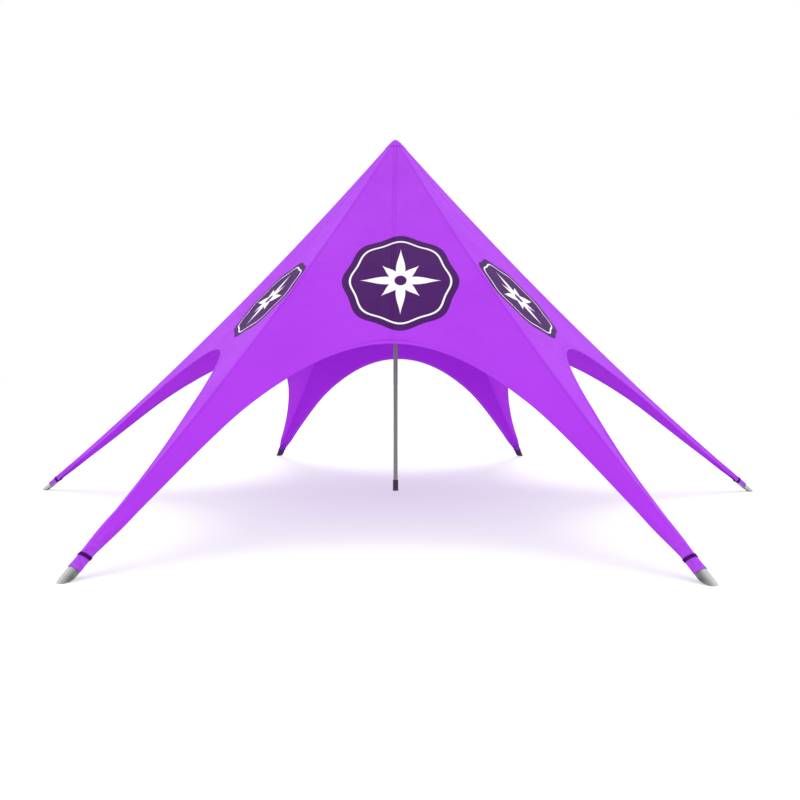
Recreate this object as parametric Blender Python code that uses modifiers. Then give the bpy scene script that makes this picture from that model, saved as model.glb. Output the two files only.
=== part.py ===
"""A star tent: one centre pole, a tensioned skin of six bays, and six arms that end in metal shoes.

Units are metres, +Z is up and the origin is on the ground under the pole. The arms lie at 0, 60, 120,
180, 240 and 300 degrees from +X, and each bay is centred half-way between two arms.
"""

import math

import bmesh
import bpy
import numpy as np
from mathutils import Matrix, Vector

# Driving dimensions of the whole tent
ARM_REACH = 5.0  # pole axis to the tip of a shoe
TIP_HEIGHT = 0.014  # height of the shoe's crown at its tip
PEAK_HEIGHT = 4.907  # height at which the ridge lines would meet in a sharp point
END_SLOPE = 0.86  # fall of an arm over its straight last stretch, metres per metre
STRAIGHT_FROM = 4.62  # the ridge runs straight from this distance outwards
ARCH_TOP = 2.49  # pole axis to the highest point of an arch
ARCH_SPREAD = 3.156  # the arch edge in plan is a parabola: y squared is this times x beyond its top
SKIN = 0.006  # thickness of the skin's solid

# Arm end and shoe
SHOE_RADIUS = 0.0615  # outside of the half-round shoe
SHOE_WALL = 0.004
SHOE_LENGTH = 0.32  # along the slope, from the tip up inside the arm
SKIN_END = 0.143  # slope distance from the tip to the end of the skin
ROUNDING_FROM = 4.30  # the arm's section turns from a ridged roof into a half round from here
ROUNDING_TO = 4.72  # to here
FLARE_FROM = 4.783  # from here inwards the half round grows wider, so that the arm tapers evenly
FLARE = 0.22  # metres of half width for each metre along the arm
FLARE_DROP = 0.07  # metres of depth for each metre along the arm
FLARE_EASE = 0.03  # distance over which the growth sets in
FOLD = 0.25  # towards its end an arm folds: its sides fall this much more for each metre from the ridge
FOLD_FROM = 3.30  # the fold sets in from here
FOLD_TO = 4.40  # and is whole from here
STRAP_PLACE = 0.265  # slope distance from the tip to the middle of the strap
STRAP_WIDTH = 0.030
STRAP_THICKNESS = 0.003
STRAP_DROP = 0.006  # how far the strap's underside passes below the shoe's edges
PAD_PLACE = 4.958  # pole axis to the middle of the rubber pad under the shoe
PAD_LENGTH = 0.050

# Pole, foot, head and peak cap
POLE_RADIUS = 0.030
FOOT_RADIUS = 0.039
FOOT_HEIGHT = 0.150
FOOT_FLOOR = 0.020  # solid rubber under the pole
HEAD_SLEEVE_RADIUS = 0.039
HEAD_SLEEVE_LENGTH = 0.100
HEAD_RADIUS = 0.130  # where the head's cone meets its rim
HEAD_RIM = 0.025  # height of the rim under the cone
HEAD_TOP_RADIUS = 0.060  # flat on top of the cone
HEAD_SOCKET = 0.120  # how far the pole runs up into the head
OPENING_RADIUS = 0.100  # corner radius of the six-sided hole in the skin at the peak
CAP_RADIUS = 0.150  # corner radius of the peak cap
CAP_THICKNESS = 0.003
CAP_POWER = 1.55  # the cap's height over the opening falls with this power of the distance

# Fineness of the solids
GAP = 0.0003  # between pieces that touch
ARC_STEP = 16  # degrees between the facets of an arm's half round
SKIN_EDGE_ANGLE = 80  # the skin wraps the shoe down to this angle each side of the crown
SKIN_COLUMNS = SKIN_EDGE_ANGLE // ARC_STEP
UPPER_ROWS = 7
ARM_ROWS = 22
ROW_CROWDING = 0.6  # how much closer the rows lie at the arm's end than by the arch top
CAP_COLUMNS = 3  # across each sixth of the peak cap
ROUND_STEPS = 32

HALF_BAY = math.radians(30)
SLOPE_ANGLE = math.atan(END_SLOPE)
RIDGE_BEND = (PEAK_HEIGHT - TIP_HEIGHT - END_SLOPE * ARM_REACH) / STRAIGHT_FROM**2

ARMS = {
    "right": 0,
    "back_right": 60,
    "back_left": 120,
    "left": 180,
    "front_left": 240,
    "front_right": 300,
}
BAYS = {
    "right_back": 30,
    "back": 90,
    "left_back": 150,
    "left_front": 210,
    "front": 270,
    "right_front": 330,
}

# Finishes: linear colour, roughness, metallic
FINISHES = {
    "purple_polyester": ((0.45, 0.06, 0.87), 0.62, 0.0),
    "aubergine_webbing": ((0.07, 0.005, 0.16), 0.75, 0.0),
    "satin_aluminium": ((0.62, 0.63, 0.62), 0.35, 1.0),
    "grey_pole_coating": ((0.22, 0.22, 0.22), 0.45, 0.0),
    "black_rubber": ((0.035, 0.035, 0.035), 0.80, 0.0),
}


def ridge_height(radius):
    """Height of a ridge's underside: a straight fall to the tip, lifted by a square law further in."""
    inside = np.maximum(STRAIGHT_FROM - radius, 0.0)
    return TIP_HEIGHT + END_SLOPE * (ARM_REACH - radius) + RIDGE_BEND * inside**2


def smooth_ramp(value, start, end):
    """Ramp from 0 at start to 1 at end with level ends."""
    share = np.clip((value - start) / (end - start), 0.0, 1.0)
    return share * share * (3.0 - 2.0 * share)


def slope_radius(slope_distance):
    """Distance from the pole axis of a point on the shoe's crown, from its distance up the slope."""
    return ARM_REACH - slope_distance * math.cos(SLOPE_ANGLE)


def hem_end():
    """The y at which the arch edge is level with the end of the skin, measured along the ridge."""
    square = math.cos(HALF_BAY) / ARCH_SPREAD
    linear = math.sin(HALF_BAY)
    rest = ARCH_TOP * math.cos(HALF_BAY) - slope_radius(SKIN_END)
    return (-linear + math.sqrt(linear**2 - 4 * square * rest)) / (2 * square)


def section_size(radius, rate):
    """Half width or depth of the skin's half round: it fits the shoe under the strap and grows inwards."""
    inside = np.maximum(FLARE_FROM - radius, 0.0)
    return SHOE_RADIUS + GAP + rate * inside**2 / (inside + FLARE_EASE)


def arm_row_places():
    """The y of each row on the arch edge, with one more row where the half round starts to widen."""
    along = np.linspace(0.0, 1.0, ARM_ROWS + 1)
    places = hem_end() * along * (1.0 + ROW_CROWDING * (1.0 - along))
    fine = np.linspace(0.0, hem_end(), 4001)
    square = (ARCH_TOP + fine**2 / ARCH_SPREAD) * math.cos(HALF_BAY) + fine * math.sin(HALF_BAY)
    return np.sort(np.append(places, np.interp(FLARE_FROM, square, fine)))


def half_bay_surface():
    """Underside of half a bay, as rows from the peak to the arm's end and columns from hem to ridge.

    The bay's middle line lies along +X and the half is on the +Y side. Above the arch each row runs
    level from the middle line to the ridge. Below it, a row runs from the arch edge to the ridge, and
    turns square to the ridge near the arm's end.
    """
    share = np.linspace(0.0, 1.0, SKIN_COLUMNS + 1)[None, :]
    top = OPENING_RADIUS * math.cos(HALF_BAY)
    upper = np.linspace(top, ARCH_TOP, UPPER_ROWS + 1)[:-1]
    hem_y = np.concatenate([np.zeros(UPPER_ROWS), arm_row_places()])
    hem_x = np.concatenate([upper, ARCH_TOP + hem_y[UPPER_ROWS:] ** 2 / ARCH_SPREAD])

    level = hem_x / math.cos(HALF_BAY)
    square = hem_x * math.cos(HALF_BAY) + hem_y * math.sin(HALF_BAY)
    turn = smooth_ramp(hem_y, 0.0, hem_end())
    ridge_radius = (1.0 - turn) * level + turn * square

    radius = ridge_radius[:, None]
    ridge_x = radius * math.cos(HALF_BAY) + share * GAP / 2 * math.sin(HALF_BAY)
    ridge_y = radius * math.sin(HALF_BAY) - share * GAP / 2 * math.cos(HALF_BAY)
    roof_x = hem_x[:, None] + share * (ridge_x - hem_x[:, None])
    roof_y = hem_y[:, None] + share * (ridge_y - hem_y[:, None])
    outwards = roof_x * math.cos(HALF_BAY) + roof_y * math.sin(HALF_BAY)
    aside = roof_x * math.sin(HALF_BAY) - roof_y * math.cos(HALF_BAY)
    fold = FOLD * smooth_ramp(outwards, FOLD_FROM, FOLD_TO)
    roof_z = ridge_height(roof_x / math.cos(HALF_BAY)) - fold * aside

    angle = np.radians(SKIN_EDGE_ANGLE) * (1.0 - share)
    across = section_size(radius, FLARE) * np.sin(angle) + GAP / 2
    depth = section_size(radius, FLARE_DROP) * (1.0 - np.cos(angle))
    outward = radius - depth * math.sin(SLOPE_ANGLE)
    round_x = outward * math.cos(HALF_BAY) + across * math.sin(HALF_BAY)
    round_y = outward * math.sin(HALF_BAY) - across * math.cos(HALF_BAY)
    round_z = ridge_height(radius) + GAP - depth * math.cos(SLOPE_ANGLE)

    rounded = smooth_ramp(radius, ROUNDING_FROM, ROUNDING_TO)
    x = (1.0 - rounded) * roof_x + rounded * round_x
    y = (1.0 - rounded) * roof_y + rounded * round_y
    z = (1.0 - rounded) * roof_z + rounded * round_z
    return np.stack([x, y, z], axis=-1)


def grid_faces(rows, columns, closed=False):
    """Quads of a grid of points, with the last column joined to the first when it is closed."""
    across = columns if closed else columns - 1
    return [
        (
            row * columns + column,
            (row + 1) * columns + column,
            (row + 1) * columns + (column + 1) % columns,
            row * columns + (column + 1) % columns,
        )
        for row in range(rows - 1)
        for column in range(across)
    ]


def make_material(name):
    """A material with the finish's colour, roughness and metallic value."""
    colour, roughness, metallic = FINISHES[name]
    material = bpy.data.materials.new(name)
    material.use_nodes = True
    shader = material.node_tree.nodes["Principled BSDF"]
    shader.inputs["Base Color"].default_value = (*colour, 1.0)
    shader.inputs["Roughness"].default_value = roughness
    shader.inputs["Metallic"].default_value = metallic
    material.diffuse_color = (*colour, 1.0)
    return material


def add_object(name, data, collection, material=None):
    """Put a mesh or curve in the scene as one named object."""
    item = bpy.data.objects.new(name, data)
    collection.objects.link(item)
    if material is not None:
        data.materials.append(material)
    return item


def add_solidify(item, thickness, offset):
    """Give an open surface its thickness, outwards for offset 1 and inwards for -1."""
    solidify = item.modifiers.new("thickness", "SOLIDIFY")
    solidify.thickness = thickness
    solidify.offset = offset
    solidify.use_even_offset = True
    solidify.use_rim = True


def shade_round(mesh):
    """Shade a round piece smooth and keep its real edges sharp."""
    mesh.shade_smooth()
    mesh.set_sharp_from_angle(angle=math.radians(35))


def make_panel(name, turn, collection, material):
    """One bay of the skin, from the peak's opening down both half arms."""
    surface = half_bay_surface()
    mesh = bpy.data.meshes.new(name)
    faces = grid_faces(surface.shape[0], surface.shape[1])
    mesh.from_pydata(surface.reshape(-1, 3).tolist(), [], faces)
    item = add_object(name, mesh, collection, material)
    item.rotation_euler.z = math.radians(turn)
    mirror = item.modifiers.new("other half", "MIRROR")
    mirror.use_axis = (False, True, False)
    mirror.merge_threshold = 0.0001
    add_solidify(item, SKIN, 1)
    return item


def arm_frame(turn, slope_distance):
    """Place of a section square to the arm's slope: x runs across, y out of the crown, z down the arm."""
    across = Vector((0.0, 1.0, 0.0))
    out = Vector((math.sin(SLOPE_ANGLE), 0.0, math.cos(SLOPE_ANGLE)))
    down = across.cross(out)
    place = Vector((ARM_REACH, 0.0, TIP_HEIGHT)) - slope_distance * down
    frame = Matrix((across, out, down)).transposed().to_4x4()
    return Matrix.Rotation(math.radians(turn), 4, "Z") @ Matrix.Translation(place) @ frame


def crown_arc(radius, edge_angle):
    """Points of an arc about the shoe's axis, from one edge over the crown to the other."""
    angles = sorted({-edge_angle, *range(-SKIN_EDGE_ANGLE, SKIN_EDGE_ANGLE + 1, ARC_STEP), edge_angle})
    return [
        (radius * math.sin(math.radians(angle)), radius * math.cos(math.radians(angle)) - SHOE_RADIUS)
        for angle in angles
    ]


def make_section_piece(name, turn, loops, start, end, collection, material):
    """A section with one or more loops, carried along the arm's slope between two slope distances."""
    curve = bpy.data.curves.new(name, "CURVE")
    curve.dimensions = "2D"
    curve.fill_mode = "BOTH"
    curve.extrude = (end - start) / 2
    for loop in loops:
        spline = curve.splines.new("POLY")
        spline.points.add(len(loop) - 1)
        for point, (x, y) in zip(spline.points, loop):
            point.co = (x, y, 0.0, 1.0)
        spline.use_cyclic_u = True
    guide = add_object(name + "_outline", curve, collection)
    guide.matrix_world = arm_frame(turn, (start + end) / 2)
    bpy.context.view_layer.update()
    mesh = bpy.data.meshes.new_from_object(guide.evaluated_get(bpy.context.evaluated_depsgraph_get()))
    build = bmesh.new()
    build.from_mesh(mesh)
    bmesh.ops.remove_doubles(build, verts=build.verts, dist=0.00001)
    bmesh.ops.recalc_face_normals(build, faces=build.faces)
    build.to_mesh(mesh)
    build.free()
    shade_round(mesh)
    item = add_object(name, mesh, collection, material)
    item.matrix_world = guide.matrix_world
    bpy.data.objects.remove(guide)
    return item


def make_shoe(name, turn, ground, collection, material):
    """A half-round metal scoop, cut square at its tip, whose side edges stand level on the ground."""
    outer = crown_arc(SHOE_RADIUS, 90)
    inner = crown_arc(SHOE_RADIUS - SHOE_WALL, 90)
    item = make_section_piece(name, turn, [outer + inner[::-1]], 0.0, SHOE_LENGTH, collection, material)
    cut = item.modifiers.new("ground line", "BOOLEAN")
    cut.operation = "DIFFERENCE"
    cut.object = ground
    return item


def make_block(name, size, centre, turn, collection):
    """A guide block for cutting, turned with its arm."""
    bpy.ops.mesh.primitive_cube_add(size=1.0)
    item = bpy.context.object
    item.name = name
    item.data.transform(Matrix.Diagonal((*size, 1.0)))
    item.matrix_world = Matrix.Rotation(math.radians(turn), 4, "Z") @ Matrix.Translation(centre)
    item.hide_render = True
    item.display_type = "WIRE"
    for owner in list(item.users_collection):
        owner.objects.unlink(item)
    collection.objects.link(item)
    return item


def make_pad(name, turn, tent, cutters, material):
    """A rubber block with upright faces that fills the shoe's hollow and stands on the ground."""
    radius = SHOE_RADIUS - SHOE_WALL - GAP
    reach = SHOE_LENGTH
    foot = [(radius, -reach), (-radius, -reach)]
    item = make_section_piece(name, turn, [crown_arc(radius, 90) + foot], 0.0, reach, tent, material)
    size = (PAD_LENGTH, 4 * SHOE_RADIUS, SHOE_LENGTH)
    limits = make_block(f"{name}_limits", size, (PAD_PLACE, 0.0, SHOE_LENGTH / 2), turn, cutters)
    keep = item.modifiers.new("faces", "BOOLEAN")
    keep.operation = "INTERSECT"
    keep.object = limits
    return item


def make_strap(name, turn, collection, material):
    """A webbing loop round the skin's end and the shoe: an arc over the crown, flat underneath."""
    inside = SHOE_RADIUS + 2 * GAP + SKIN / math.cos(math.radians(ARC_STEP / 2))
    flat = -SHOE_RADIUS - STRAP_DROP
    inner = crown_arc(inside, 90) + [(inside, flat), (-inside, flat)]
    outside = inside + STRAP_THICKNESS
    under = flat - STRAP_THICKNESS
    outer = crown_arc(outside, 90) + [(outside, under), (-outside, under)]
    return make_section_piece(
        name,
        turn,
        [outer, inner],
        STRAP_PLACE - STRAP_WIDTH / 2,
        STRAP_PLACE + STRAP_WIDTH / 2,
        collection,
        material,
    )


def make_turned(name, profile, collection, material):
    """A piece turned about the pole's axis from a profile that runs down its outer side."""
    mesh = bpy.data.meshes.new(name)
    edges = [(index, index + 1) for index in range(len(profile) - 1)]
    mesh.from_pydata([(radius, 0.0, height) for radius, height in profile], edges, [])
    item = add_object(name, mesh, collection, material)
    screw = item.modifiers.new("turn", "SCREW")
    screw.steps = ROUND_STEPS
    screw.render_steps = ROUND_STEPS
    screw.use_merge_vertices = True
    screw.merge_threshold = 0.0001
    screw.use_smooth_shade = True
    return item


def head_cone_height(radius):
    """Height of the head's cone, which seats the skin along the middle line of each bay."""
    return float(ridge_height(radius / math.cos(HALF_BAY))) - 2 * GAP


def make_head(collection, material):
    """The cone on top of the pole that carries the peak, with a sleeve for the pole below it."""
    cone_foot = head_cone_height(HEAD_RADIUS)
    rim = cone_foot - HEAD_RIM
    sleeve_end = rim - HEAD_SLEEVE_LENGTH
    bore = POLE_RADIUS + GAP
    profile = [
        (0.0, head_cone_height(HEAD_TOP_RADIUS)),
        (HEAD_TOP_RADIUS, head_cone_height(HEAD_TOP_RADIUS)),
        (HEAD_RADIUS, cone_foot),
        (HEAD_RADIUS, rim),
        (HEAD_SLEEVE_RADIUS, rim),
        (HEAD_SLEEVE_RADIUS, sleeve_end),
        (bore, sleeve_end),
        (bore, sleeve_end + HEAD_SOCKET),
        (0.0, sleeve_end + HEAD_SOCKET),
    ]
    make_turned("pole_head", profile, collection, material)
    return sleeve_end + HEAD_SOCKET - GAP


def make_pole(pole_top, collection, material):
    """The straight pole, from the floor of its foot to the top of the head's socket."""
    bottom = FOOT_FLOOR + GAP
    bpy.ops.mesh.primitive_cylinder_add(
        vertices=ROUND_STEPS,
        radius=POLE_RADIUS,
        depth=pole_top - bottom,
        location=(0.0, 0.0, (pole_top + bottom) / 2),
    )
    item = bpy.context.object
    item.name = "pole"
    item.data.name = "pole"
    item.data.materials.append(material)
    shade_round(item.data)
    for owner in list(item.users_collection):
        owner.objects.unlink(item)
    collection.objects.link(item)


def make_foot(collection, material):
    """A rubber cup that the pole stands in."""
    bore = POLE_RADIUS + GAP
    bevel = 0.003
    profile = [
        (0.0, FOOT_FLOOR),
        (bore, FOOT_FLOOR),
        (bore, FOOT_HEIGHT),
        (FOOT_RADIUS - bevel, FOOT_HEIGHT),
        (FOOT_RADIUS, FOOT_HEIGHT - bevel),
        (FOOT_RADIUS, bevel),
        (FOOT_RADIUS - bevel, 0.0),
        (0.0, 0.0),
    ]
    make_turned("pole_foot", profile, collection, material)


def make_cap(collection, material):
    """The cap over the peak: six-sided where it lies on the skin, domed over the opening."""
    opening = OPENING_RADIUS
    corner_radii = np.array([0.25 * opening, 0.5 * opening, 0.75 * opening, opening, CAP_RADIUS])
    ridge_slope = END_SLOPE + 2 * RIDGE_BEND * (STRAIGHT_FROM - opening)
    skin_height = SKIN * math.hypot(1.0, ridge_slope / math.cos(HALF_BAY))
    underside = skin_height + 2 * GAP
    rise = ridge_slope / CAP_POWER * opening
    peak = float(ridge_height(opening)) + rise + underside
    dome = peak - rise * (corner_radii / opening) ** CAP_POWER
    heights = np.where(corner_radii < opening, dome, ridge_height(corner_radii) + underside)

    corner = np.radians(np.arange(6) * 60.0)
    share = np.arange(CAP_COLUMNS) / CAP_COLUMNS
    here = np.stack([np.cos(corner), np.sin(corner)], axis=-1)
    following = np.roll(here, -1, axis=0)
    ring = here[:, None, :] + share[None, :, None] * (following - here)[:, None, :]
    ring = ring.reshape(-1, 2)
    count = len(ring)
    flat = corner_radii[:, None, None] * ring[None, :, :]
    level = np.repeat(heights[:, None], count, axis=1)[..., None]
    points = [(0.0, 0.0, peak)] + np.concatenate([flat, level], axis=-1).reshape(-1, 3).tolist()
    fan = [(0, 1 + index, 1 + (index + 1) % count) for index in range(count)]
    rings = grid_faces(len(corner_radii), count, closed=True)
    quads = [tuple(1 + place for place in quad) for quad in rings]
    mesh = bpy.data.meshes.new("peak_cap")
    mesh.from_pydata(points, [], fan + quads)
    item = add_object("peak_cap", mesh, collection, material)
    add_solidify(item, CAP_THICKNESS, 1)


def main():
    """Build the tent from an empty scene."""
    for item in list(bpy.data.objects):
        bpy.data.objects.remove(item, do_unlink=True)
    tent = bpy.data.collections.new("star_tent")
    cutters = bpy.data.collections.new("cutters")
    bpy.context.scene.collection.children.link(tent)
    bpy.context.scene.collection.children.link(cutters)
    slab = (3 * ARM_REACH, 3 * ARM_REACH, ARM_REACH)
    ground = make_block("below_ground", slab, (0.0, 0.0, -ARM_REACH / 2), 0, cutters)

    for bay, turn in BAYS.items():
        make_panel(f"panel_{bay}", turn, tent, make_material("purple_polyester"))
    for arm, turn in ARMS.items():
        make_shoe(f"shoe_{arm}", turn, ground, tent, make_material("satin_aluminium"))
        make_pad(f"pad_{arm}", turn, tent, cutters, make_material("black_rubber"))
        make_strap(f"strap_{arm}", turn, tent, make_material("aubergine_webbing"))
    pole_top = make_head(tent, make_material("satin_aluminium"))
    make_pole(pole_top, tent, make_material("grey_pole_coating"))
    make_foot(tent, make_material("black_rubber"))
    make_cap(tent, make_material("purple_polyester"))


main()
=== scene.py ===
"""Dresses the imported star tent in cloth, seams, hems, shoes, straps and pole, with stage and camera.

Units are metres, +Z is up, and the pole stands at the origin. The arms lie at 0, 60 ... 300 degrees from +X,
and each bay's middle line lies half-way between two arms. A bay's own frame has x along its middle line.
"""

import logging
import math
from collections.abc import Iterator
from contextlib import contextmanager
from dataclasses import asdict
from dataclasses import dataclass
from dataclasses import field
from enum import Enum
from functools import cached_property

import bmesh
import bpy
import numpy as np
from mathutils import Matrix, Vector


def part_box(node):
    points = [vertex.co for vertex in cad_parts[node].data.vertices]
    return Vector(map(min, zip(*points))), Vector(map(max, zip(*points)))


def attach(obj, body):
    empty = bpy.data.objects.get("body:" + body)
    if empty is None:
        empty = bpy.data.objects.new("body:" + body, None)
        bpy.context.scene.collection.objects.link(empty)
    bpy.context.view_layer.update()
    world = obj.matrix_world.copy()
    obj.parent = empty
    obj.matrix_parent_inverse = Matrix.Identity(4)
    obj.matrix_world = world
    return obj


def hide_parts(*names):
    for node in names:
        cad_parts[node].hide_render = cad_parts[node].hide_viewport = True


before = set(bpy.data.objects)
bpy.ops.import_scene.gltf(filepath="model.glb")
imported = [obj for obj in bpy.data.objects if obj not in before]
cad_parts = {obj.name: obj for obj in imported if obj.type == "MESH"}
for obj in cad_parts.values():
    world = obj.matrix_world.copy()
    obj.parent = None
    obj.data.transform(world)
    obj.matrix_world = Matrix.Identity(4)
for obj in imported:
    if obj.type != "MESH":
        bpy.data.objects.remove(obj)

LOG = logging.getLogger("star_tent")
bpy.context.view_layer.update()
BODY = "root"
UV_NAME = "UVMap"
FULL_TURN = 360
HALF_STEP = 30
HALF_BAY = math.radians(HALF_STEP)
COSINE = math.cos(HALF_BAY)
SINE = math.sin(HALF_BAY)
FINE_STEPS = 2001
TINY = 1e-12
WELD_DISTANCE = 0.00002
HARD_EDGE = 40.0
CLOTH_EDGE = 50.0
TURNED_EDGE = 32.0

Array = np.ndarray
Steps = tuple[tuple[float, float], ...]
Colour = tuple[float, float, float]
Socket = bpy.types.NodeSocket
Material = bpy.types.Material
Piece = bpy.types.Object


class Slot(Enum):
    """The record's material slots."""

    SKIN = "skin"
    WEBBING = "webbing"
    METAL = "shoe_metal"
    POLE = "pole_coating"
    RUBBER = "black_rubber"


class Bearing(Enum):
    """A place round the pole, by its bearing from +X in degrees."""

    @property
    def label(self) -> str:
        """The place's name in the frame's nodes."""
        return self.name.lower()


class Arm(Bearing):
    """The six arms."""

    RIGHT = 0
    BACK_RIGHT = 60
    BACK_LEFT = 120
    LEFT = 180
    FRONT_LEFT = 240
    FRONT_RIGHT = 300


class Bay(Bearing):
    """The six bays, each at the bearing of its middle line."""

    RIGHT_BACK = 30
    BACK = 90
    LEFT_BACK = 150
    LEFT_FRONT = 210
    FRONT = 270
    RIGHT_FRONT = 330


class Half(Enum):
    """The two halves of a bay, by the sign of y in the bay's own frame."""

    BEFORE = -1
    AFTER = 1

    def arm(self, bay: Bay) -> Arm:
        """The arm that this half of a bay runs down."""
        return Arm((bay.value + HALF_STEP * self.value) % FULL_TURN)

    def bay(self, arm: Arm) -> Bay:
        """The bay whose half runs down an arm."""
        return Bay((arm.value - HALF_STEP * self.value) % FULL_TURN)


class Line(Enum):
    """The two lines that a half bay ends on, each with its column in a grid and the next one inwards."""

    HEM = (0, 1)
    RIDGE = (-1, -2)


class Surface(Enum):
    """What a grid of points is made into."""

    SHEET = "an open sheet"
    WELDED = "a surface whose coinciding points are merged"
    CAPPED = "a welded tube, whose last column repeats its first, with a face over each end"


def smooth_ramp(value: Array, start: float, end: float) -> Array:
    """Ramp from 0 at start to 1 at end with level ends: share squared times (3 - 2 share)."""
    share = np.clip((value - start) / (end - start), 0.0, 1.0)
    return share * share * (3.0 - 2.0 * share)


def unit(vectors: Array) -> Array:
    """Scale each vector in the last axis to length 1."""
    return vectors / np.maximum(np.linalg.norm(vectors, axis=-1, keepdims=True), TINY)


def stacked(*parts: Array | float) -> Array:
    """Put coordinates side by side in a new last axis, each stretched to the same shape."""
    return np.stack(np.broadcast_arrays(*parts), axis=-1)


def angles(first: float, last: float, count: int) -> Array:
    """Evenly spaced angles in radians between two ends in degrees."""
    return np.radians(np.linspace(first, last, count))


def run_length(path: Array) -> Array:
    """Length from a path's start to each of its points."""
    return np.concatenate([[0.0], np.cumsum(np.linalg.norm(np.diff(path, axis=0), axis=-1))])


def turned(points: Array, bearing: float) -> Array:
    """Turn points about +Z by a bearing in degrees.

    Args:
        points: The points.
        bearing: The bearing.

    Returns:
        The turned points.
    """
    angle = math.radians(bearing)
    cosine, sine = math.cos(angle), math.sin(angle)
    x, y, z = np.moveaxis(points, -1, 0)
    return stacked(x * cosine - y * sine, x * sine + y * cosine, z)


def upward_normals(grid: Array) -> Array:
    """Unit normals of a grid of points: the cross product of its steps down and along, turned upwards."""
    normals = unit(np.cross(np.gradient(grid, axis=0), np.gradient(grid, axis=1)))
    return normals * np.sign(normals[..., 2].mean())


@dataclass(frozen=True)
class Slack:
    """How the cloth gives: a slow swell over each bay, folds down each arm and folds down from the peak."""

    hold_power: float = 0.8
    end_power: int = 8
    middle_to: float = 0.25
    swell: float = 0.0024
    swell_down: float = 2.1
    swell_across: float = 2.7
    swell_shift: float = 0.7
    ripple: float = 0.5
    ripple_down: float = 5.3
    ripple_across: float = 3.1
    ripple_shift: float = 2.0
    arm_fold: float = 0.0016
    arm_starts: tuple[float, float] = (0.55, 0.86)
    arm_stops: tuple[float, float] = (0.925, 0.955)
    arm_waves: float = 1.7
    arm_wander: float = 0.25
    arm_wander_down: float = 3.0
    top_fold: float = 0.0013
    top_starts: tuple[float, float] = (0.12, 0.3)
    top_stops: tuple[float, float] = (0.3, 1.5)
    top_waves: float = 34.0

    def distance(self, along: Array, share: Array, flat: Array, phase: float) -> Array:
        """How far the cloth stands off its taut shape: nothing on the ridge and on the arch edge.

        The swell is a sine down the bay times a cosine across it, plus a smaller sine. The arm's folds are
        sines across it that wander on their way down, and the peak's folds are a cosine of the bearing.

        Args:
            along: Which row.
            share: Place on the row.
            flat: Flat places on the cut cloth, with y signed.
            phase: Shifts the pattern, so that no two bays are the same.

        Returns:
            The distance at each point, in metres.
        """
        y, down = flat[..., 0], flat[..., 1]
        held = np.sin(np.pi * np.clip(share, 0.0, 1.0)) ** self.hold_power
        near_middle = 1.0 - smooth_ramp(along, 0.0, self.middle_to)
        ends = (1.0 - (1.0 - share) ** self.end_power) * (1.0 - share**self.end_power)
        held = np.maximum(held, near_middle * ends)
        swell = np.sin(self.swell_down * down + phase)
        swell = swell * np.cos(self.swell_across * y + self.swell_shift * phase)
        ripple = np.sin(self.ripple_down * down + self.ripple_across * y + self.ripple_shift * phase)
        arm = smooth_ramp(along, *self.arm_starts) * (1.0 - smooth_ramp(along, *self.arm_stops))
        wander = self.arm_wander * np.sin(self.arm_wander_down * down + phase)
        arm_fold = np.sin(2.0 * math.pi * (self.arm_waves * share + wander) + phase)
        top = (1.0 - smooth_ramp(down, *self.top_stops)) * smooth_ramp(down, *self.top_starts)
        top_fold = np.cos(self.top_waves * np.arctan2(y, down) + phase)
        broad = self.swell * (swell + self.ripple * ripple)
        return held * (broad + self.arm_fold * arm * arm_fold + self.top_fold * top * top_fold)


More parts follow.
